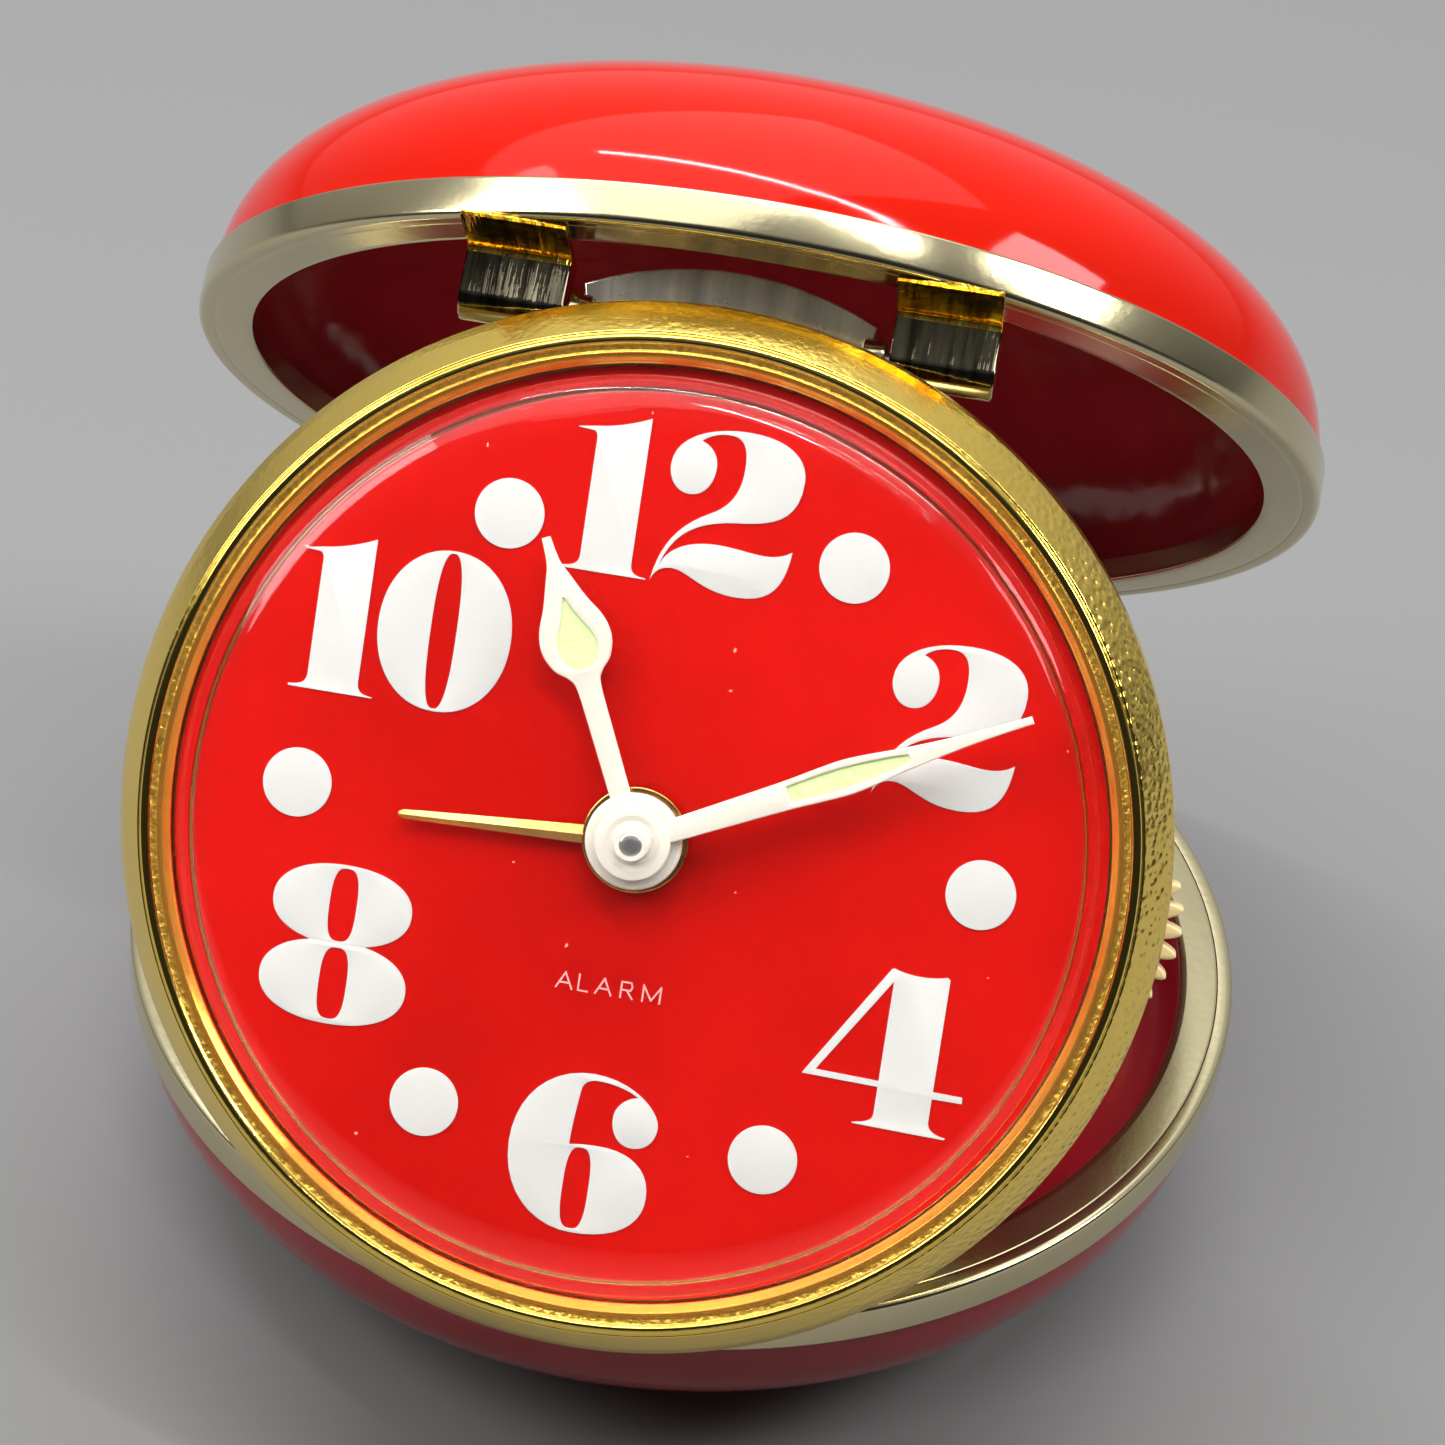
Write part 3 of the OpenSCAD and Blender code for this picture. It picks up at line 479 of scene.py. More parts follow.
class ClockSizes(bpy.types.PropertyGroup):
    """Sizes of the halves and the bezel, and the times that the hands show"""
    rim_radius: length("Rim radius", "Outer radius of the metal rims", 40.0, 36, 44)
    rim_opening: length("Rim opening", "Inner radius of the flat rim face", 36.1, 34, 38)
    band_height: length("Band height", "Height of the band round each rim", 2.75, 2, 4)
    dome_height: length("Lid depth", "From the rim face to the top of the dome", 20.0, 16, 24)
    dome_power: FloatProperty(name="Dome roundness",
                              description="Power of the superellipse: 2 is an ellipse, more is squarer",
                              default=2.25, min=2, max=3)
    wall: length("Wall", "Thickness of the plastic", 1.6, 1, 2)
    bezel_radius: length("Bezel radius", "Outer radius of the bezel", 33.4, 32, 34)
    shown_hour: IntProperty(name="Hour shown", description="Whole hours that the hands show", default=11, min=0, max=11)
    shown_minute: FloatProperty(name="Minute shown", description="Minutes that the hands show", default=10.6, min=0,
                                max=59.9)
    alarm_time: FloatProperty(name="Alarm time", description="Hour that the alarm hand points to", default=8.9, min=0,
                              max=11.9)
    round_steps: IntProperty(name="Steps round", description="Faces round each turned piece", default=256, min=48,
                             max=384)


class ClockColors(bpy.types.PropertyGroup):
    """Colours of the plastic, the plating, the dial and the hands"""
    lid_red: tint("Lid red", "Outside of the lid", 0.62, 0.008, 0.0005)
    # Painted shade: the lid's red plastic made darker for the shaded inside of the lid
    shaded_lining_red: tint("Lid lining", "Inside of the lid", 0.42, 0.030, 0.042)
    # Painted shade: the base's red plastic made darker for its shaded underside
    shaded_base_red: tint("Base red", "Outside of the base", 0.30, 0.010, 0.014)
    bowl_red: tint("Base lining", "Inside of the base", 0.52, 0.014, 0.030)
    pale_gold: tint("Rim gold", "Plating of the two rims", 0.64, 0.57, 0.35)
    bezel_gold: tint("Bezel gold", "Plating of the bezel", 0.96, 0.70, 0.15)
    dial_red: tint("Dial red", "Enamel of the dial", 0.46, 0.002, 0.0003)
    ink_white: tint("Numeral white", "Ink of the numerals and dots", 0.57, 0.575, 0.55)
    hand_ivory: tint("Hand ivory", "Enamel of the hour and minute hands", 0.66, 0.635, 0.545)
    lume: tint("Lume", "Glow paint in the hands", 0.60, 0.82, 0.34)
    knob_ivory: tint("Knob ivory", "Plastic of the thumb wheels", 0.98, 0.76, 0.38)


# ---------------------------------------------------------------- the two halves

def half_profile(size, height):
    """A closed profile of one plastic half, and the index of its first inner point. Outside, radius r at height h
    above the band satisfies (r / R) ^ p + (h / H) ^ p = 1, cut flat at the given height. Inside is the same, one wall
    smaller. The skirt stands inside the band, and the dome starts half a millimetre inside the rim."""
    def curve(radius, rise, top):
        a = np.linspace(0, math.pi / 2, 72)
        r = radius * np.abs(np.cos(a)) ** (2 / size.dome_power)
        h = size.band_height + rise * np.sin(a) ** (2 / size.dome_power)
        if h[-1] > top + 1e-6:
            keep = h < top
            cut = np.interp(top, h, r)
            r = np.concatenate([r[keep], [cut + 0.12, cut - 0.25], np.linspace(cut - 0.6, 0, 12)])
            h = np.concatenate([h[keep], [top - 0.06, top], np.full(12, top)])
        return np.column_stack([np.maximum(r, ON_AXIS), h])
    skirt, low, high = size.rim_radius - 0.8, 0.85, size.band_height + 0.02
    rise = size.dome_height - size.band_height
    outer = curve(size.rim_radius - 0.5, rise, height)
    inner = curve(skirt - size.wall, rise - size.wall, height - size.wall)
    start = [[skirt - size.wall, low], [skirt, low], [skirt, high], [size.rim_radius - 0.62, high]]
    return np.concatenate([start, outer, inner[::-1]]), len(start) + len(outer)


def build_half(name, part, node, height, skin, lining):
    """One plastic half, its outside and its lining each in a finish."""
    size = bpy.context.scene.clock_sizes
    profile, first_inner = half_profile(size, height)
    inside = np.tile(np.arange(len(profile)) >= first_inner, size.round_steps)
    make_piece(name, turned(profile, size.round_steps), [skin, lining], part, node, 50, part, inside.astype(int))


def rim_profile(size):
    """Rim, from the opening outwards: a rolled lip, the flat face, a fine ridge, the rounded edge, the band and its
    turned-in top."""
    r, o, b = size.rim_radius, size.rim_opening, size.band_height
    corners = [
        [o, 0.5], [o, 0.02], [o + 0.55, -0.02], [r - 1.3, 0.02], [r - 1.2, 0.05], [r - 1.1, 0.02], [r, 0.0], [r, b],
        [r - 0.62, b + 0.05], [r - 0.62, b - 0.3], [r - 0.79, b - 0.3], [r - 0.79, 0.81], [o + 0.62, 0.81],
        [o + 0.62, 1.9], [o, 1.9]]
    return round_corners(corners, [0.2, 0.2, 0.3, 0.08, 0.08, 0.08, 0.62, 0.22, 0, 0, 0, 0, 0, 0.15, 0.15], 7)


class CLOCK_OT_halves(bpy.types.Operator):
    """Builds the lid and the base: a glossy dome and a plated rim each"""
    bl_idname = "clock.halves"
    bl_label = "Lid and base"

    def execute(self, context):
        size = context.scene.clock_sizes
        hinge_height = JOINTS["lid_hinge"]["pos_m"][2] / MM
        build_half("lid_skin", "lid", "lid_dome", size.dome_height, "lid_plastic", "lid_lining_painted_shade")
        build_half("base_skin", "base", "base_bowl", hinge_height, "base_plastic", "base_lining")
        rim = turned(rim_profile(size), size.round_steps)
        for part in ("lid", "base"):
            make_piece(part + "_band", rim, ["pale_gold"], part, part + "_rim", 60, part)
        return {"FINISHED"}


# ---------------------------------------------------------------- hinges

def ring_faces(rings, count):
    """Quads between one ring of points and the next, all round."""
    i, j = np.meshgrid(np.arange(rings - 1), np.arange(count), indexing="ij")
    near, far = i * count, (i + 1) * count
    return np.stack([near + j, near + (j + 1) % count, far + (j + 1) % count, far + j], -1).reshape(-1, 4).tolist()


def folded_block(side):
    """A hinge block of bent sheet: a flange on the rim's face, a straight front and a rolled foot round the pin.
    A profile in the plane across the hinge, carried along it and drawn in by the bevel at each end. Also the kind of
    finish of each face: 0 on the flange and 1 and 2 on the front, the foot and the ends. The front's finish is the
    gold made nearly black, a painted dark reflection."""
    a = np.radians(np.linspace(0, 180, 17))
    foot = np.column_stack([-30.5 - 1.5 * np.cos(a), -3.4 - 1.5 * np.sin(a)])
    outline = np.concatenate([
        [[-37.5, -0.02], [-37.5, -0.14], [-37.3, -0.26], [-32.35, -0.3], [-32.1, -0.42], [-32.0, -0.8]], foot,
        [[-29.0, -0.2], [-29.3, 0.15], [-32.0, 0.4], [-36.2, 0.4], [-36.2, 0.0]]])
    x = np.array([10.5, 10.56, 10.75, 12.0, 13.9, 15.7, 17.0, 17.19, 17.25])
    shrink = np.array([0.18, 0.06, 0, 0, 0, 0, 0, 0.06, 0.18])
    inward = np.array([-33.0, -1.2]) - outline
    rings = outline[None] + inward[None] / np.linalg.norm(inward, axis=1)[None, :, None] * shrink[:, None, None]
    points = np.concatenate([np.repeat(x[:, None, None], len(outline), 1), rings], 2)
    points[..., 0] *= side
    n = len(outline)
    around = np.arange(n)
    side_kind = np.where((around < 5) | (around >= n - 4), 0, np.where(around > 9, 2, 1))
    kinds = np.concatenate([np.tile(side_kind, len(x) - 1), [2, 2]])
    ends = [list(range(n)), [(len(x) - 1) * n + k for k in reversed(range(n))]]
    return (points.reshape(-1, 3), ring_faces(len(x), n) + ends), kinds


class CLOCK_OT_hinges(bpy.types.Operator):
    """Builds the two folded hinge blocks in the lid"""
    bl_idname = "clock.hinges"
    bl_label = "Hinge blocks"

    def execute(self, context):
        for side, name in ((1, "right"), (-1, "left")):
            shape, kinds = folded_block(side)
            # The front of each block takes the nearly black gold, a painted dark reflection
            make_piece("fold_block_" + name, shape, ["block_gold", "block_painted_dark_reflection", "pale_gold"], "lid",
                       "hinge_block_" + name, 28, "lid", kinds)
        return {"FINISHED"}


# ---------------------------------------------------------------- bezel and crystal

def bezel_profile(size):
    """The bezel from its back, outwards and over: side band, rounded corner, sloped face, bright bead, grained groove,
    orange inner ring and the lip that holds the crystal. Also the kind of finish of each stretch."""
    r = size.bezel_radius
    corners = [
        [30.15, -4.8], [r - 0.15, -4.8], [r, -4.5], [r - 0.02, -1.9], [r - 0.5, -1.0], [31.6, 1.02], [31.46, 1.02],
        [31.32, 1.38], [30.92, 1.46], [30.7, 1.2], [30.4, 1.12], [30.25, 1.24], [30.0, 1.2], [29.56, 0.72],
        [29.56, 0.05],
        [30.15, 0.0]]
    radius = [0, 0.15, 0.15, 0.5, 0.6, 0.15, 0.1, 0.25, 0.25, 0.12, 0.1, 0.12, 0.2, 0.1, 0, 0]
    profile = round_corners(corners, radius, 7)
    across, height = profile.T
    bead, groove = 30.78, 30.3
    kinds = np.zeros(len(profile), int)
    kinds[(height > 0.98) & (across < 31.5) & (across > bead)] = 1
    kinds[(across <= bead) & (across > groove) & (height > 0.5)] = 2
    kinds[(across <= groove) & (height > 0.02)] = 3
    return profile, kinds


def crystal_profile():
    """A clear dome with a foot: outside, radius r at height h satisfies (r / R) ^ 4 + (h / H) ^ 4 = 1, with a fine step
    near its edge. Inside is the same form, smaller."""
    a = np.linspace(0, math.pi / 2, 60)

    def dome(radius, rise, foot):
        return np.column_stack([np.maximum(radius * np.abs(np.cos(a)) ** 0.5, ON_AXIS), foot + rise * np.sin(a) ** 0.5])
    outer, inner = dome(28.9, 3.4, 0.9), dome(28.0, 2.5, 0.9)
    step_radius, step = 27.3, 0.08
    outer[:, 1] -= step * np.clip((outer[:, 0] - step_radius) / step, 0, 1)
    return np.concatenate([[[28.0, 0.06], [29.5, 0.06], [29.5, 0.82]], outer, inner[::-1]])


class CLOCK_OT_bezel(bpy.types.Operator):
    """Builds the gold bezel and the clear crystal in it"""
    bl_idname = "clock.bezel"
    bl_label = "Bezel and crystal"

    def execute(self, context):
        size = context.scene.clock_sizes
        profile, kinds = bezel_profile(size)
        make_piece("bezel_ring", turned(profile, size.round_steps),
                   ["bezel_gold", "bright_gold", "groove_gold", "orange_gold"],
                   "clock", "bezel", 60, kinds=np.tile(kinds, size.round_steps))
        make_piece("crystal_dome", turned(crystal_profile(), size.round_steps), ["clear_acrylic"], "clock",
                   "crystal", 60)
        return {"FINISHED"}


# ---------------------------------------------------------------- dial

def cubic_outline(start, steps):
    """A closed outline of straight and curved sides. A step is an end point, or an end point and two handles, where
    the side is p (1-t)^3 + 3 a t (1-t)^2 + 3 b t^2 (1-t) + q t^3 from p to q with handles a and b."""
    out = [np.array([start], float)]
    t = np.linspace(0, 1, 11)[1:, None]
    for step in steps:
        p, q = out[-1][-1], np.array(step[:2], float)
        if len(step) == 2:
            out.append(q[None])
            continue
        a, b = np.array(step[2:4], float), np.array(step[4:6], float)
        out.append(p * (1 - t) ** 3 + 3 * a * t * (1 - t) ** 2 + 3 * b * t ** 2 * (1 - t) + q * t ** 3)
    points = np.concatenate(out)
    return points[:-1] if np.allclose(points[0], points[-1]) else points


def oval(centre, half, power, count=72):
    """A superellipse: |x / a| ^ p + |y / b| ^ p = 1 about a centre."""
    a = np.arange(count) * 2 * math.pi / count
    x = np.sign(np.cos(a)) * np.abs(np.cos(a)) ** (2 / power)
    y = np.sign(np.sin(a)) * np.abs(np.sin(a)) ** (2 / power)
    return np.column_stack([centre[0] + half[0] * x, centre[1] + half[1] * y])


ONE = cubic_outline((-2.75, 0), [
    (2.6, 0), (2.6, 0.08), (1.62, 0.9, 1.85, 0.1, 1.62, 0.35), (1.62, 9.9), (-1.7, 8.95, 0.4, 9.35, -0.7, 9.05),
    (-2.85, 8.77), (-2.85, 8.73), (-1.9, 8.65), (-1.62, 8.15, -1.7, 8.6, -1.62, 8.45), (-1.62, 1.0),
    (-2.75, 0.15, -1.62, 0.4, -1.9, 0.2)])
TWO = cubic_outline((-1.62, 16.08), [
    (1.55, 20.75, -1.3, 18.4, -0.35, 19.75), (3.25, 23.8, 2.7, 21.35, 3.25, 22.3),
    (2.05, 25.68, 3.25, 25.2, 2.85, 25.68),
    (0.35, 25.08, 1.4, 25.68, 0.85, 25.5), (1.5, 23.55, 1.0, 24.9, 1.5, 24.35), (0.05, 21.72, 1.5, 22.5, 0.9, 21.72),
    (-1.35, 23.35, -0.8, 21.72, -1.35, 22.5), (3.2, 26.03, -1.35, 25.1, 0.7, 26.03),
    (7.02, 23.5, 5.5, 26.03, 7.02, 25.1),
    (3.3, 20.4, 7.02, 20.9, 5.2, 20.6), (-1.18, 17.15, 0.9, 20.15, -0.55, 19.3), (2.3, 18.88, -0.7, 18.35, 0.6, 18.88),
    (6.92, 19.15, 4.2, 18.88, 5.7, 18.2), (3.9, 15.85, 6.75, 17.0, 6.1, 15.85), (-0.35, 17.03, 1.6, 15.85, 0.7, 17.03),
    (-1.62, 16.08, -1.1, 17.03, -1.45, 16.6)])
FOUR = cubic_outline((16.0, -15.42), [
    (17.25, -14.7, 16.8, -15.3, 17.25, -15.15), (17.25, -12.98), (12.45, -12.88), (12.6, -12.6), (17.0, -5.5),
    (17.2, -5.42),
    (20.5, -5.45, 18.0, -5.75, 19.6, -5.78), (20.7, -5.6), (20.7, -12.72), (22.55, -12.76), (22.6, -13.17),
    (20.7, -13.17),
    (20.7, -14.6), (21.9, -15.5, 20.7, -15.2, 21.2, -15.42), (21.85, -15.62), (16.0, -15.5)])
FOUR_HOLE = np.array([(13.25, -12.5), (17.25, -12.6), (17.25, -6.25)])
SIX = cubic_outline((-0.4, -15.2), [
    (-5.15, -20.3, -3.2, -15.2, -5.15, -17.3), (-0.4, -25.45, -5.15, -23.4, -3.1, -25.45),
    (3.97, -22.5, 2.2, -25.45, 3.97, -24.4),
    (0.6, -19.72, 3.97, -20.7, 2.6, -19.72), (-1.35, -19.88, -0.2, -19.72, -0.9, -19.78),
    (-1.05, -16.2, -1.33, -18.6, -1.15, -16.9),
    (-0.1, -15.6, -0.95, -15.8, -0.55, -15.6), (2.55, -16.25, 0.9, -15.6, 1.9, -15.85),
    (1.15, -17.8, 1.8, -16.4, 1.15, -16.95),
    (2.6, -19.5, 1.15, -18.8, 1.75, -19.5), (4.05, -17.95, 3.45, -19.5, 4.05, -18.85),
    (-0.4, -15.2, 4.05, -16.9, 2.2, -15.2)])


def eight():
    """The eight: two ovals that meet at a waist, each taken in order from the waist, and a counter in each."""
    waist = -9.7
    halves = []
    for centre, half, way in (((-17.75, -7.27), (4.45, 2.57), 1), ((-17.72, -12.22), (4.7, 2.66), -1)):
        ring = oval(centre, half, 2.2, 120)
        angle = np.arctan2(ring[:, 1] - centre[1], ring[:, 0] - centre[0]) + way * math.pi / 2
        ring = ring[np.argsort(np.mod(angle, 2 * math.pi))]
        halves.append(ring[way * (ring[:, 1] - waist) > 0])
    return [np.concatenate(halves), oval((-17.72, -7.25), (0.87, 2.33), 3), oval((-17.7, -12.27), (0.89, 2.29), 3)]


def numerals():
    """The six printed hours, as closed outlines on the dial in millimetres."""
    return {
        "twelve": [[ONE + (-4.5, 16.05)], [TWO]],
        "two": [[TWO + (15.6, -10.9)]],
        "four": [[FOUR, FOUR_HOLE]],
        "six": [[SIX, oval((-0.555, -22.59), (0.825, 2.61), 3)]],
        "eight": [eight()],
        "ten": [[ONE + (-20.4, 5.97)], [oval((-13.83, 10.86), (4.22, 5.06), 2.1),
                                        oval((-13.9, 10.87), (0.82, 4.9), 2.6)]],
    }


def stroke(x1, y1, x2, y2, width=0.11):
    """A thin bar between two points."""
    along = unit((x2 - x1, y2 - y1))
    side = np.array([-along[1], along[0]]) * width / 2
    ends = np.array([(x1, y1), (x2, y2)]) + np.array([-along, along]) * width / 2
    return np.array([ends[0] - side, ends[1] - side, ends[1] + side, ends[0] + side])


def alarm_word():
    """The one printed word, in thin capitals a millimetre high, as bars. A letter is its left edge and its bars, each
    from one end to the other in the letter's own square."""
    letter_a = [(0, 0, 0.5, 1), (0.5, 1, 1, 0), (0.2, 0.35, 0.8, 0.35)]
    letter_r = [(0, 0, 0, 1), (0, 1, 0.6, 1), (0.6, 1, 0.7, 0.75), (0.7, 0.75, 0.6, 0.5), (0.6, 0.5, 0, 0.5),
                (0.35, 0.5, 0.75, 0)]
    letter_m = [(0, 0, 0, 1), (0, 1, 0.55, 0.1), (0.55, 0.1, 1.1, 1), (1.1, 1, 1.1, 0)]
    letters = ((-3.35, letter_a), (-1.95, [(0, 1, 0, 0), (0, 0, 0.6, 0)]), (-0.85, letter_a), (0.75, letter_r),
               (2.15, letter_m))
    return [stroke(left + a - 0.3, b - 10.1, left + c - 0.3, d - 10.1) for left, bars in letters for a, b, c, d in bars]


class CLOCK_OT_dial(bpy.types.Operator):
    """Builds the red dial, its printed numerals, its word and its round hour marks"""
    bl_idname = "clock.dial"
    bl_label = "Dial"

    def execute(self, context):
        size = context.scene.clock_sizes
        profile = round_corners(
            [[2.3, -0.4], [29.4, -0.4], [29.4, -0.02], [28.3, -0.02], [28.2, 0.0], [2.42, 0.0], [2.3, -0.1]],
            [0, 0.05, 0.05, 0.3, 0.3, 0.08, 0.05], 4)
        make_piece("dial_face", turned(profile, size.round_steps), ["dial_enamel"], "clock", "dial", 40)
        for name, shapes in numerals().items():
            shape = joined([flat_shape(loops, 0.0, 0.05, 0.012) for loops in shapes])
            make_piece("numeral_" + name, shape, ["dial_ink"], "clock", sharp=30)
        word = joined([flat_shape([bar], 0.0, 0.03) for bar in alarm_word()])
        make_piece("printed_word", word, ["small_ink"], "clock")
        dot_radius, dot_place = 2.185, 21.7
        dot, dot_faces = turned(round_corners(
            [[ON_AXIS, 0.0], [dot_radius, 0.0], [dot_radius, 0.07], [ON_AXIS, 0.075]], [0, 0, 0.05, 0], 5), 64)
        dots = joined([(spun(dot + (0, dot_place, 0), -30 * hour), dot_faces) for hour in range(1, 12, 2)])
        make_piece("hour_marks", dots, ["dial_ink"], "clock", "hour_dots", 40, weld=2e-6)
        return {"FINISHED"}


# ---------------------------------------------------------------- hands

def smooth_line(points):
    """A smooth line through points: between two of them, a cubic whose end slopes follow their neighbours."""
    p = np.asarray(points, float)
    ghost = np.concatenate([[2 * p[0] - p[1]], p, [2 * p[-1] - p[-2]]])
    t = np.linspace(0, 1, 8, endpoint=False)[None, :, None]
    a, b, c, d = (ghost[k:len(ghost) - 3 + k, None] for k in range(4))
    line = 0.5 * (2 * b + (c - a) * t + (2 * a - 5 * b + 4 * c - d) * t ** 2 + (3 * b - a - 3 * c + d) * t ** 3)
    return np.concatenate([line.reshape(-1, 2), p[-1:]])


def mirrored(line):
    """A closed outline from its right-hand side, given as (distance from the centre, half width) going outwards."""
    right = np.column_stack([line[:, 1], line[:, 0]])
    left = right[::-1] * (-1, 1)
    outline = np.concatenate([right, left])
    keep = np.linalg.norm(outline - np.roll(outline, 1, axis=0), axis=1) > 1e-4
    return outline[keep]


def lofted(rings):
    """Rings of points, one after another, joined by faces and closed at both ends."""
    rings = np.asarray(rings, float)
    m, n = rings.shape[:2]
    ends = [list(range(n))[::-1], [(m - 1) * n + k for k in range(n)]]
    return rings.reshape(-1, 3), ring_faces(m, n) + ends


def hand(name, body, node, blade, stripe, hub, low, high, degrees):
    """A hand: a blade with rounded edges, a sunk stripe of glow paint, and a turned hub. The blade and the stripe are
    (distance from the centre, half width), and the paint is a little wider than its slot."""
    blade, stripe = mirrored(smooth_line(blade)), mirrored(smooth_line(stripe))
    parts = [flat_shape([blade, stripe], low, high, 0.09), turned(hub, 96),
             flat_shape([stripe * (1.06, 1)], low + 0.04, high - 0.13)]
    points, faces = joined(parts)
    kinds = np.repeat([0, 0, 1], [len(part_faces) for _, part_faces in parts])
    make_piece(name, (spun(points, -degrees), faces), ["hand_enamel", "pale_lume"], body, node, 40,
               kinds=kinds)


class CLOCK_OT_hands(bpy.types.Operator):
    """Builds the hour, minute and alarm hands at the time shown"""
    bl_idname = "clock.hands"
    bl_label = "Hands"

    def minute_hand(self, size):
        """The hand and the pin's cap: radius r at height h of the cap's dome satisfies (r / R) ^ 2 + (h / H) ^ 2 = 1"""
        hub = round_corners(
            [[0.93, 2.1], [2.4, 2.1], [2.4, 2.5], [1.75, 2.56], [1.4, 2.42], [1.15, 2.42], [1.08, 3.19], [0.74, 3.19],
             [0.74, 3.16], [0.93, 3.16]], [0, 0.1, 0.2, 0.2, 0.08, 0.05, 0.12, 0, 0, 0], 6)
        blade = [(1.9, 0.70), (3, 0.72), (9.5, 0.88), (12, 1.02), (14, 1.1), (16, 0.92), (18, 0.67), (22, 0.35),
                 (25.9, 0.24)]
        stripe = [(10.2, 0.5), (11.5, 0.58), (13, 0.64), (14.5, 0.60), (16.5, 0.43), (18, 0.22)]
        hand("minute_pointer", "minute", "minute_hand", blade, stripe, hub, 2.1, 2.45, 6 * size.shown_minute)
        a = np.linspace(0, math.pi / 2, 12)
        pin, base, rise = 0.72, 3.16, 0.14
        dome = np.column_stack([pin * np.cos(a) + ON_AXIS, base + rise * np.sin(a)])
        cap = np.concatenate([[[ON_AXIS, 3.1], [pin, 3.1]], dome])
        make_piece("centre_pin_cap", turned(cap, 64), ["pin_steel"], "minute", sharp=50)

    def hour_hand(self, size):
        """The hand turns 30 degrees an hour, and stands between hours by the minutes shown"""
        hub = round_corners([[1.5, 1.3], [3.05, 1.3], [3.05, 1.85], [1.5, 1.95]], [0, 0.2, 0.28, 0.1], 8)
        blade = [(2.5, 0.66), (7, 0.7), (9.9, 0.76), (10.7, 1.05), (11.4, 1.75), (12.3, 2.17), (13.2, 2.25),
                 (14.2, 2.0),
                 (15.4, 1.4), (17, 0.78), (18, 0.42), (19.6, 0.27)]
        stripe = [(11.05, 0.05), (11.35, 0.75), (11.9, 1.1), (12.6, 1.25), (13.4, 1.05), (14.4, 0.55), (15.7, 0.04)]
        angle = 30 * (size.shown_hour + size.shown_minute / 60)
        hand("hour_pointer", "hour", "hour_hand", blade, stripe, hub, 1.3, 1.65, angle)

    def alarm_hand(self, size):
        """A ridged blade: five points across at each distance from the centre, the middle one on the ridge"""
        reach = np.array([1.5, 6, 10, 13.5, 14.7, 15.0])
        half = np.array([0.62, 0.52, 0.41, 0.32, 0.28, 0.14])
        rise = np.array([1, 1, 1, 1, 0.9, 0.55])
        flat = np.zeros(len(reach))
        across = np.stack([-half, -half, flat, half, half], 1)
        up = 0.6 + np.stack([flat, flat + 0.1, 0.36 * rise, flat + 0.1, flat], 1)
        rings = np.stack([across, np.repeat(reach[:, None], across.shape[1], 1), up], -1)
        hub = round_corners([[2.02, 0.6], [3.35, 0.6], [3.35, 0.95], [2.02, 1.0]], [0, 0.05, 0.15, 0.05], 5)
        points, faces = joined([lofted(rings), turned(hub, 96)])
        shape = (spun(points, -30 * size.alarm_time), faces)
        make_piece("alarm_pointer", shape, ["alarm_brass"], "alarm_dial", "alarm_hand", 25)

    def execute(self, context):
        for build in (self.minute_hand, self.hour_hand, self.alarm_hand):
            build(context.scene.clock_sizes)
        return {"FINISHED"}


# ---------------------------------------------------------------- back of the clock

def place_of(node):
    """The centre of a CAD node across the clock's own frame, in millimetres, at no height."""
    low, high = (np.array(corner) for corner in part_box(node))
    origin, axes = FRAMES["clock"]
    return axes @ ((low + high) / 2 - origin) / MM * (1, 1, 0)


def thumb_wheel(radius, teeth, low, high):
    """A thumb wheel with petal teeth: radius = root + depth |cos(teeth x angle / 2)| ^ 1.05, and a dished web."""
    depth, steps = 1.7, teeth * 14
    a = np.arange(steps) * 2 * math.pi / steps
    r = radius - depth + depth * np.abs(np.cos(teeth * a / 2)) ** 1.05
    hole = oval((0, 0), (radius - 2.9, radius - 2.9), 2, 96)
    rim = flat_shape([np.column_stack([r * np.cos(a), r * np.sin(a)]), hole], low, high, 0.16)
    dish = round_corners(
        [[ON_AXIS, low + 0.1], [1.7, low + 0.1], [1.8, low + 0.5], [radius - 3.2, low + 0.6], [radius - 3.0, low + 0.2],
         [radius - 2.8, low + 0.3], [radius - 2.8, high - 0.2], [ON_AXIS, high - 0.2]],
         [0, 0.15, 0.2, 0.3, 0.1, 0, 0, 0], 5)
    return joined([rim, turned(dish, 96)])


def winding_key(low, high):
    """A winding key: a turned boss and two flat wings that widen smoothly from their middle to a round, pierced end."""
    reach, bow = 4.6, 2.1
    x = np.linspace(-reach, reach, 60)
    s = np.clip(np.abs(x) / reach, 0, 1)
    half = 1.25 + 0.85 * s * s * (3 - 2 * s)
    end = np.linspace(math.pi / 2, -math.pi / 2, 24)[1:-1]
    right = np.column_stack([reach + bow * np.cos(end), bow * np.sin(end)])
    outline = np.concatenate([np.column_stack([x, half]), right, np.column_stack([x[::-1], -half]), -right])
    holes = [oval((centre, 0), (0.8, 0.8), 2, 40) for centre in (4.7, -4.7)]
    wings = flat_shape([outline[::-1], *holes], low, low + 0.9, 0.2)
    boss = round_corners(
        [[ON_AXIS, low], [1.3, low], [1.6, low + 0.25], [2.2, low + 0.5], [2.2, high], [1.3, high], [1.3, high - 2.4],
         [ON_AXIS, high - 2.4]], [0, 0.1, 0.1, 0.25, 0.15, 0, 0, 0], 5)
    return joined([wings, turned(boss, 64)])


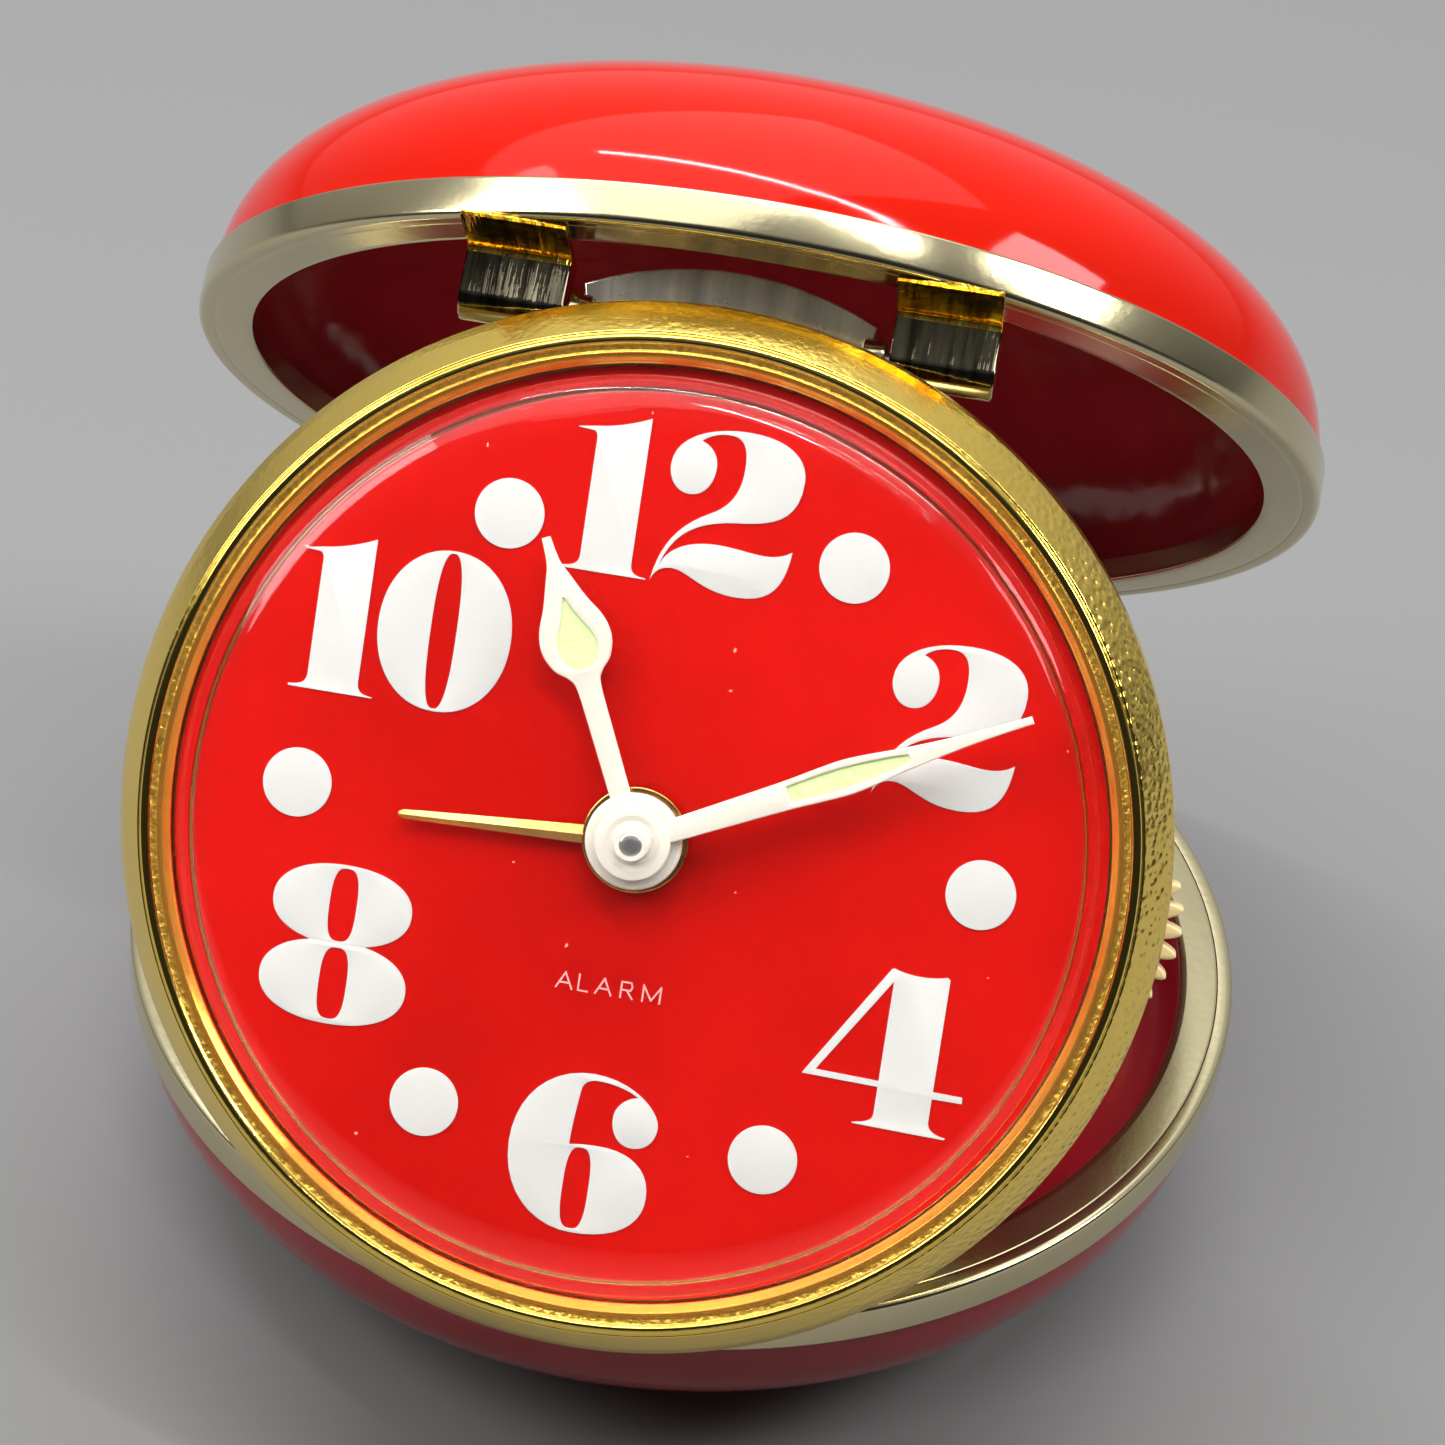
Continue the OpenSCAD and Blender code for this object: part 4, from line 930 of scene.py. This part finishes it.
class CLOCK_OT_back(bpy.types.Operator):
    """Builds the drum, the thumb wheels and the winding keys"""
    bl_idname = "clock.back"
    bl_label = "Drum, wheels and keys"

    def execute(self, context):
        size = context.scene.clock_sizes
        profile = round_corners(
            [[29.3, -0.4], [30.1, -0.4], [30.1, -14.6], [29.85, -14.8], [29.85, -15.2], [30.1, -15.4], [30.1, -16.6],
             [29.85, -16.8], [29.95, -17.6], [29.3, -17.6]], [0, 0.1, 0.2, 0.1, 0.1, 0.2, 0.2, 0.1, 0.1, 0], 5)
        make_piece("drum_wall", turned(profile, size.round_steps), ["drum_brass"], "clock", "drum", 35)
        for name, body, node, radius, teeth in (("time_wheel", "time_setting", "time_set_knob", 8.6, 34),
                                                ("alarm_wheel_knob", "alarm_setting", "alarm_set_knob", 7.0, 28)):
            points, faces = thumb_wheel(radius, teeth, -20.9, -18.9)
            make_piece(name, (points + place_of(node), faces), ["knob_ivory"], body, node, 30)
        for name, body, node, degrees in (("time_winder", "winding", "time_key", 35),
                                          ("alarm_winder", "alarm_winding", "alarm_key", -20)):
            points, faces = winding_key(-22.4, -18.9)
            make_piece(name, (spun(points, degrees) + place_of(node), faces), ["bright_gold"], body, node, 30)
        return {"FINISHED"}


class CLOCK_OT_plate(bpy.types.Operator):
    """Builds the steel plate on the drum with its two lugs"""
    bl_idname = "clock.plate"
    bl_label = "Hinge plate"

    def execute(self, context):
        arc_radius, arc_top, drum_radius, half_width = 22, 35.55, 30.12, 9.6
        half_turn = np.radians(np.linspace(0, 180, 40))
        arc = np.column_stack([arc_radius * np.cos(half_turn), arc_top - arc_radius + arc_radius * np.sin(half_turn)])
        inner = drum_radius * np.column_stack([np.cos(half_turn[::-1]), np.sin(half_turn[::-1])])
        edge = [line[np.abs(line[:, 0]) < half_width] for line in (arc, inner)]
        parts = [flat_shape([np.concatenate(edge)], -8.9, -8.1, 0.12)]
        around = np.radians(np.linspace(-65, 180, 22))
        eye = np.column_stack([31.4 + 1.6 * np.sin(around), -9 - 1.6 * np.cos(around)])
        lug, lug_faces = flat_shape([np.concatenate([eye, [[28.7, -7.4], [28.7, -10.6]]])], -0.75, 0.75, 0.15)
        for side in (-1, 1):
            parts.append((np.column_stack([lug[:, 2] + 9.45 * side, lug[:, 0], lug[:, 1]]), lug_faces))
        kinds = np.repeat([0, 1, 1], [len(part_faces) for _, part_faces in parts])
        make_piece("steel_hinge_plate", joined(parts), ["plate_steel", "pale_gold"], "clock", "hinge_bracket",
                   30,
                   kinds=kinds)
        return {"FINISHED"}


# ---------------------------------------------------------------- pieces kept from the frame

KEPT = {
    "pale_gold": ["base_hinge_leaf", "lid_hinge_leaf"],
    "movement_brass": ["front_plate", "back_plate", "hour_wheel", "minute_wheel", "alarm_wheel", "alarm_idler",
                       "barrel",
                       "centre_wheel", "third_wheel", "fourth_wheel", "escape_wheel", "balance_wheel", "alarm_barrel",
                       "alarm_star_wheel", "plate_pillars", "regulator"],
    "movement_steel": ["rear_hinge_pin", "clock_hinge_pins", "time_set_arbor", "alarm_set_arbor", "barrel_arbor",
                       "mainspring",
                       "pallet_lever", "hairspring", "alarm_mainspring", "alarm_hammer", "cover_screws"],
    "pin_steel": ["cannon_pinion"],
    "cover_metal": ["back_cover"],
    "knob_ivory": ["alarm_stop_button"],
}


class CLOCK_OT_movement(bpy.types.Operator):
    """Gives every piece of the movement, and the small pieces kept as they are, its metal"""
    bl_idname = "clock.movement"
    bl_label = "Movement"

    def execute(self, context):
        for finish, names in KEPT.items():
            for name in names:
                for place in frame["nodes"][name].material_slots:
                    place.material = FINISH[finish]
        return {"FINISHED"}


# ---------------------------------------------------------------- floor, lights and camera

# Name, width, height, power in watts, place and target, all lengths in metres.
LAMPS = (
    ("overhead_panel", 1.3, 0.9, 5.6, (-0.15, 0.15, 0.85), (0, 0, 0.04)),
    ("long_strip", 0.62, 0.010, 2.0, (-0.02, -0.06, 0.60), (0, 0, 0.05)),
    ("side_panel", 0.22, 0.30, 1.6, (-0.46, -0.17, 0.42), (0, 0, 0.05)),
    ("right_window", 0.16, 0.20, 1.5, (0.45, 0.0, 0.42), (0, 0, 0.05)),
)


def soft_lamp(name, width, height, power, place, target):
    """A rectangular lamp aimed at a point."""
    light = bpy.data.lights.new(name, "AREA")
    light.shape = "RECTANGLE"
    light.size, light.size_y = width, height
    light.energy = power
    lamp = bpy.data.objects.new(name, light)
    bpy.context.collection.objects.link(lamp)
    lamp.location = place
    lamp.rotation_euler = (Vector(target) - Vector(place)).to_track_quat("-Z", "Y").to_euler()


def lay_floor():
    """A plain square of paper just under the base."""
    cells, half_side, height = 6, 1.5, -0.0001
    x = np.linspace(-half_side, half_side, cells + 1)
    xx, yy = np.meshgrid(x, x, indexing="ij")
    points = np.column_stack([xx.ravel(), yy.ravel(), np.full(xx.size, height)])
    i, j = np.meshgrid(np.arange(cells), np.arange(cells), indexing="ij")
    near, far = i * (cells + 1) + j, (i + 1) * (cells + 1) + j
    mesh = bpy.data.meshes.new("pale_floor")
    mesh.from_pydata(points.tolist(), [], np.stack([near, far, far + 1, near + 1], -1).reshape(-1, 4).tolist())
    mesh.materials.append(shaded("floor_paper", (0.235, 0.235, 0.235), 0.7, 0, 0.03, 0.05, 8, 500, 0.03))
    floor = bpy.data.objects.new("pale_floor", mesh)
    bpy.context.collection.objects.link(floor)


def light_room(scene):
    """A room that is brightest above and behind the clock, and dark in front and below."""
    world = bpy.data.worlds.new("soft_room")
    world.use_nodes = True
    tree = world.node_tree
    way, ramp = add_node(tree, "TexCoord"), add_node(tree, "ValToRGB")
    aim = add_node(tree, "VectorMath", {1: (-0.1, 0.62, 0.62)}, operation="DOT_PRODUCT")
    for stop, position, gray in zip(ramp.color_ramp.elements, (0.0, 0.85), (0.035, 0.9)):
        stop.position, stop.color = position, (gray, gray, gray, 1)
    background = tree.nodes["Background"].inputs
    background["Strength"].default_value = 0.7
    link_all(tree, (way.outputs["Generated"], aim.inputs[0]), (aim.outputs["Value"], ramp.inputs["Fac"]),
             (ramp.outputs["Color"], background["Color"]))
    scene.world = world


def place_camera(scene):
    """A long lens that looks down at the clock, turned a little about its own axis."""
    data = bpy.data.cameras.new("viewpoint")
    data.lens, data.sensor_width = 105.86, 36
    data.clip_start, data.clip_end = 0.01, 20
    camera = bpy.data.objects.new("viewpoint", data)
    bpy.context.collection.objects.link(camera)
    forward = Vector((-0.0852, 0.7828, -0.6164)).normalized()
    right = forward.cross(Vector((-0.1603, 0.5998, 0.7839))).normalized()
    turn = Matrix((right, right.cross(forward), -forward)).transposed().to_4x4()
    camera.matrix_world = Matrix.Translation((0.0267, -0.2328, 0.2206)) @ turn
    scene.camera = camera


class CLOCK_OT_stage(bpy.types.Operator):
    """Builds the pale floor, the soft lamps and the camera"""
    bl_idname = "clock.stage"
    bl_label = "Stage"

    def execute(self, context):
        context.scene.view_settings.view_transform = "Standard"
        lay_floor()
        light_room(context.scene)
        for lamp in LAMPS:
            soft_lamp(*lamp)
        place_camera(context.scene)
        return {"FINISHED"}


# ---------------------------------------------------------------- sidebar

class CLOCK_PT_build(bpy.types.Panel):
    """Lists the pieces of the clock in the sidebar"""
    bl_label = "Travel alarm clock"
    bl_idname = "CLOCK_PT_build"
    bl_space_type = "VIEW_3D"
    bl_region_type = "UI"
    bl_category = "Clock"

    def draw(self, context):
        for group in (context.scene.clock_sizes, context.scene.clock_colors):
            for key in group.bl_rna.properties.keys():
                if key not in ("rna_type", "name"):
                    self.layout.prop(group, key)
        for step in STEPS:
            self.layout.operator(step.bl_idname)


STEPS = [CLOCK_OT_halves, CLOCK_OT_hinges, CLOCK_OT_bezel, CLOCK_OT_dial, CLOCK_OT_hands, CLOCK_OT_back, CLOCK_OT_plate,
         CLOCK_OT_movement, CLOCK_OT_stage]
CLASSES = [ClockSizes, ClockColors, *STEPS, CLOCK_PT_build]


def register():
    for each in CLASSES:
        bpy.utils.register_class(each)
    bpy.types.Scene.clock_sizes = PointerProperty(type=ClockSizes)
    bpy.types.Scene.clock_colors = PointerProperty(type=ClockColors)


def unregister():
    del bpy.types.Scene.clock_colors
    del bpy.types.Scene.clock_sizes
    for each in reversed(CLASSES):
        bpy.utils.unregister_class(each)


def main():
    register()
    make_finishes()
    for step in STEPS:
        space, name = step.bl_idname.split(".")
        getattr(getattr(bpy.ops, space), name)()


if __name__ == "__main__":
    main()
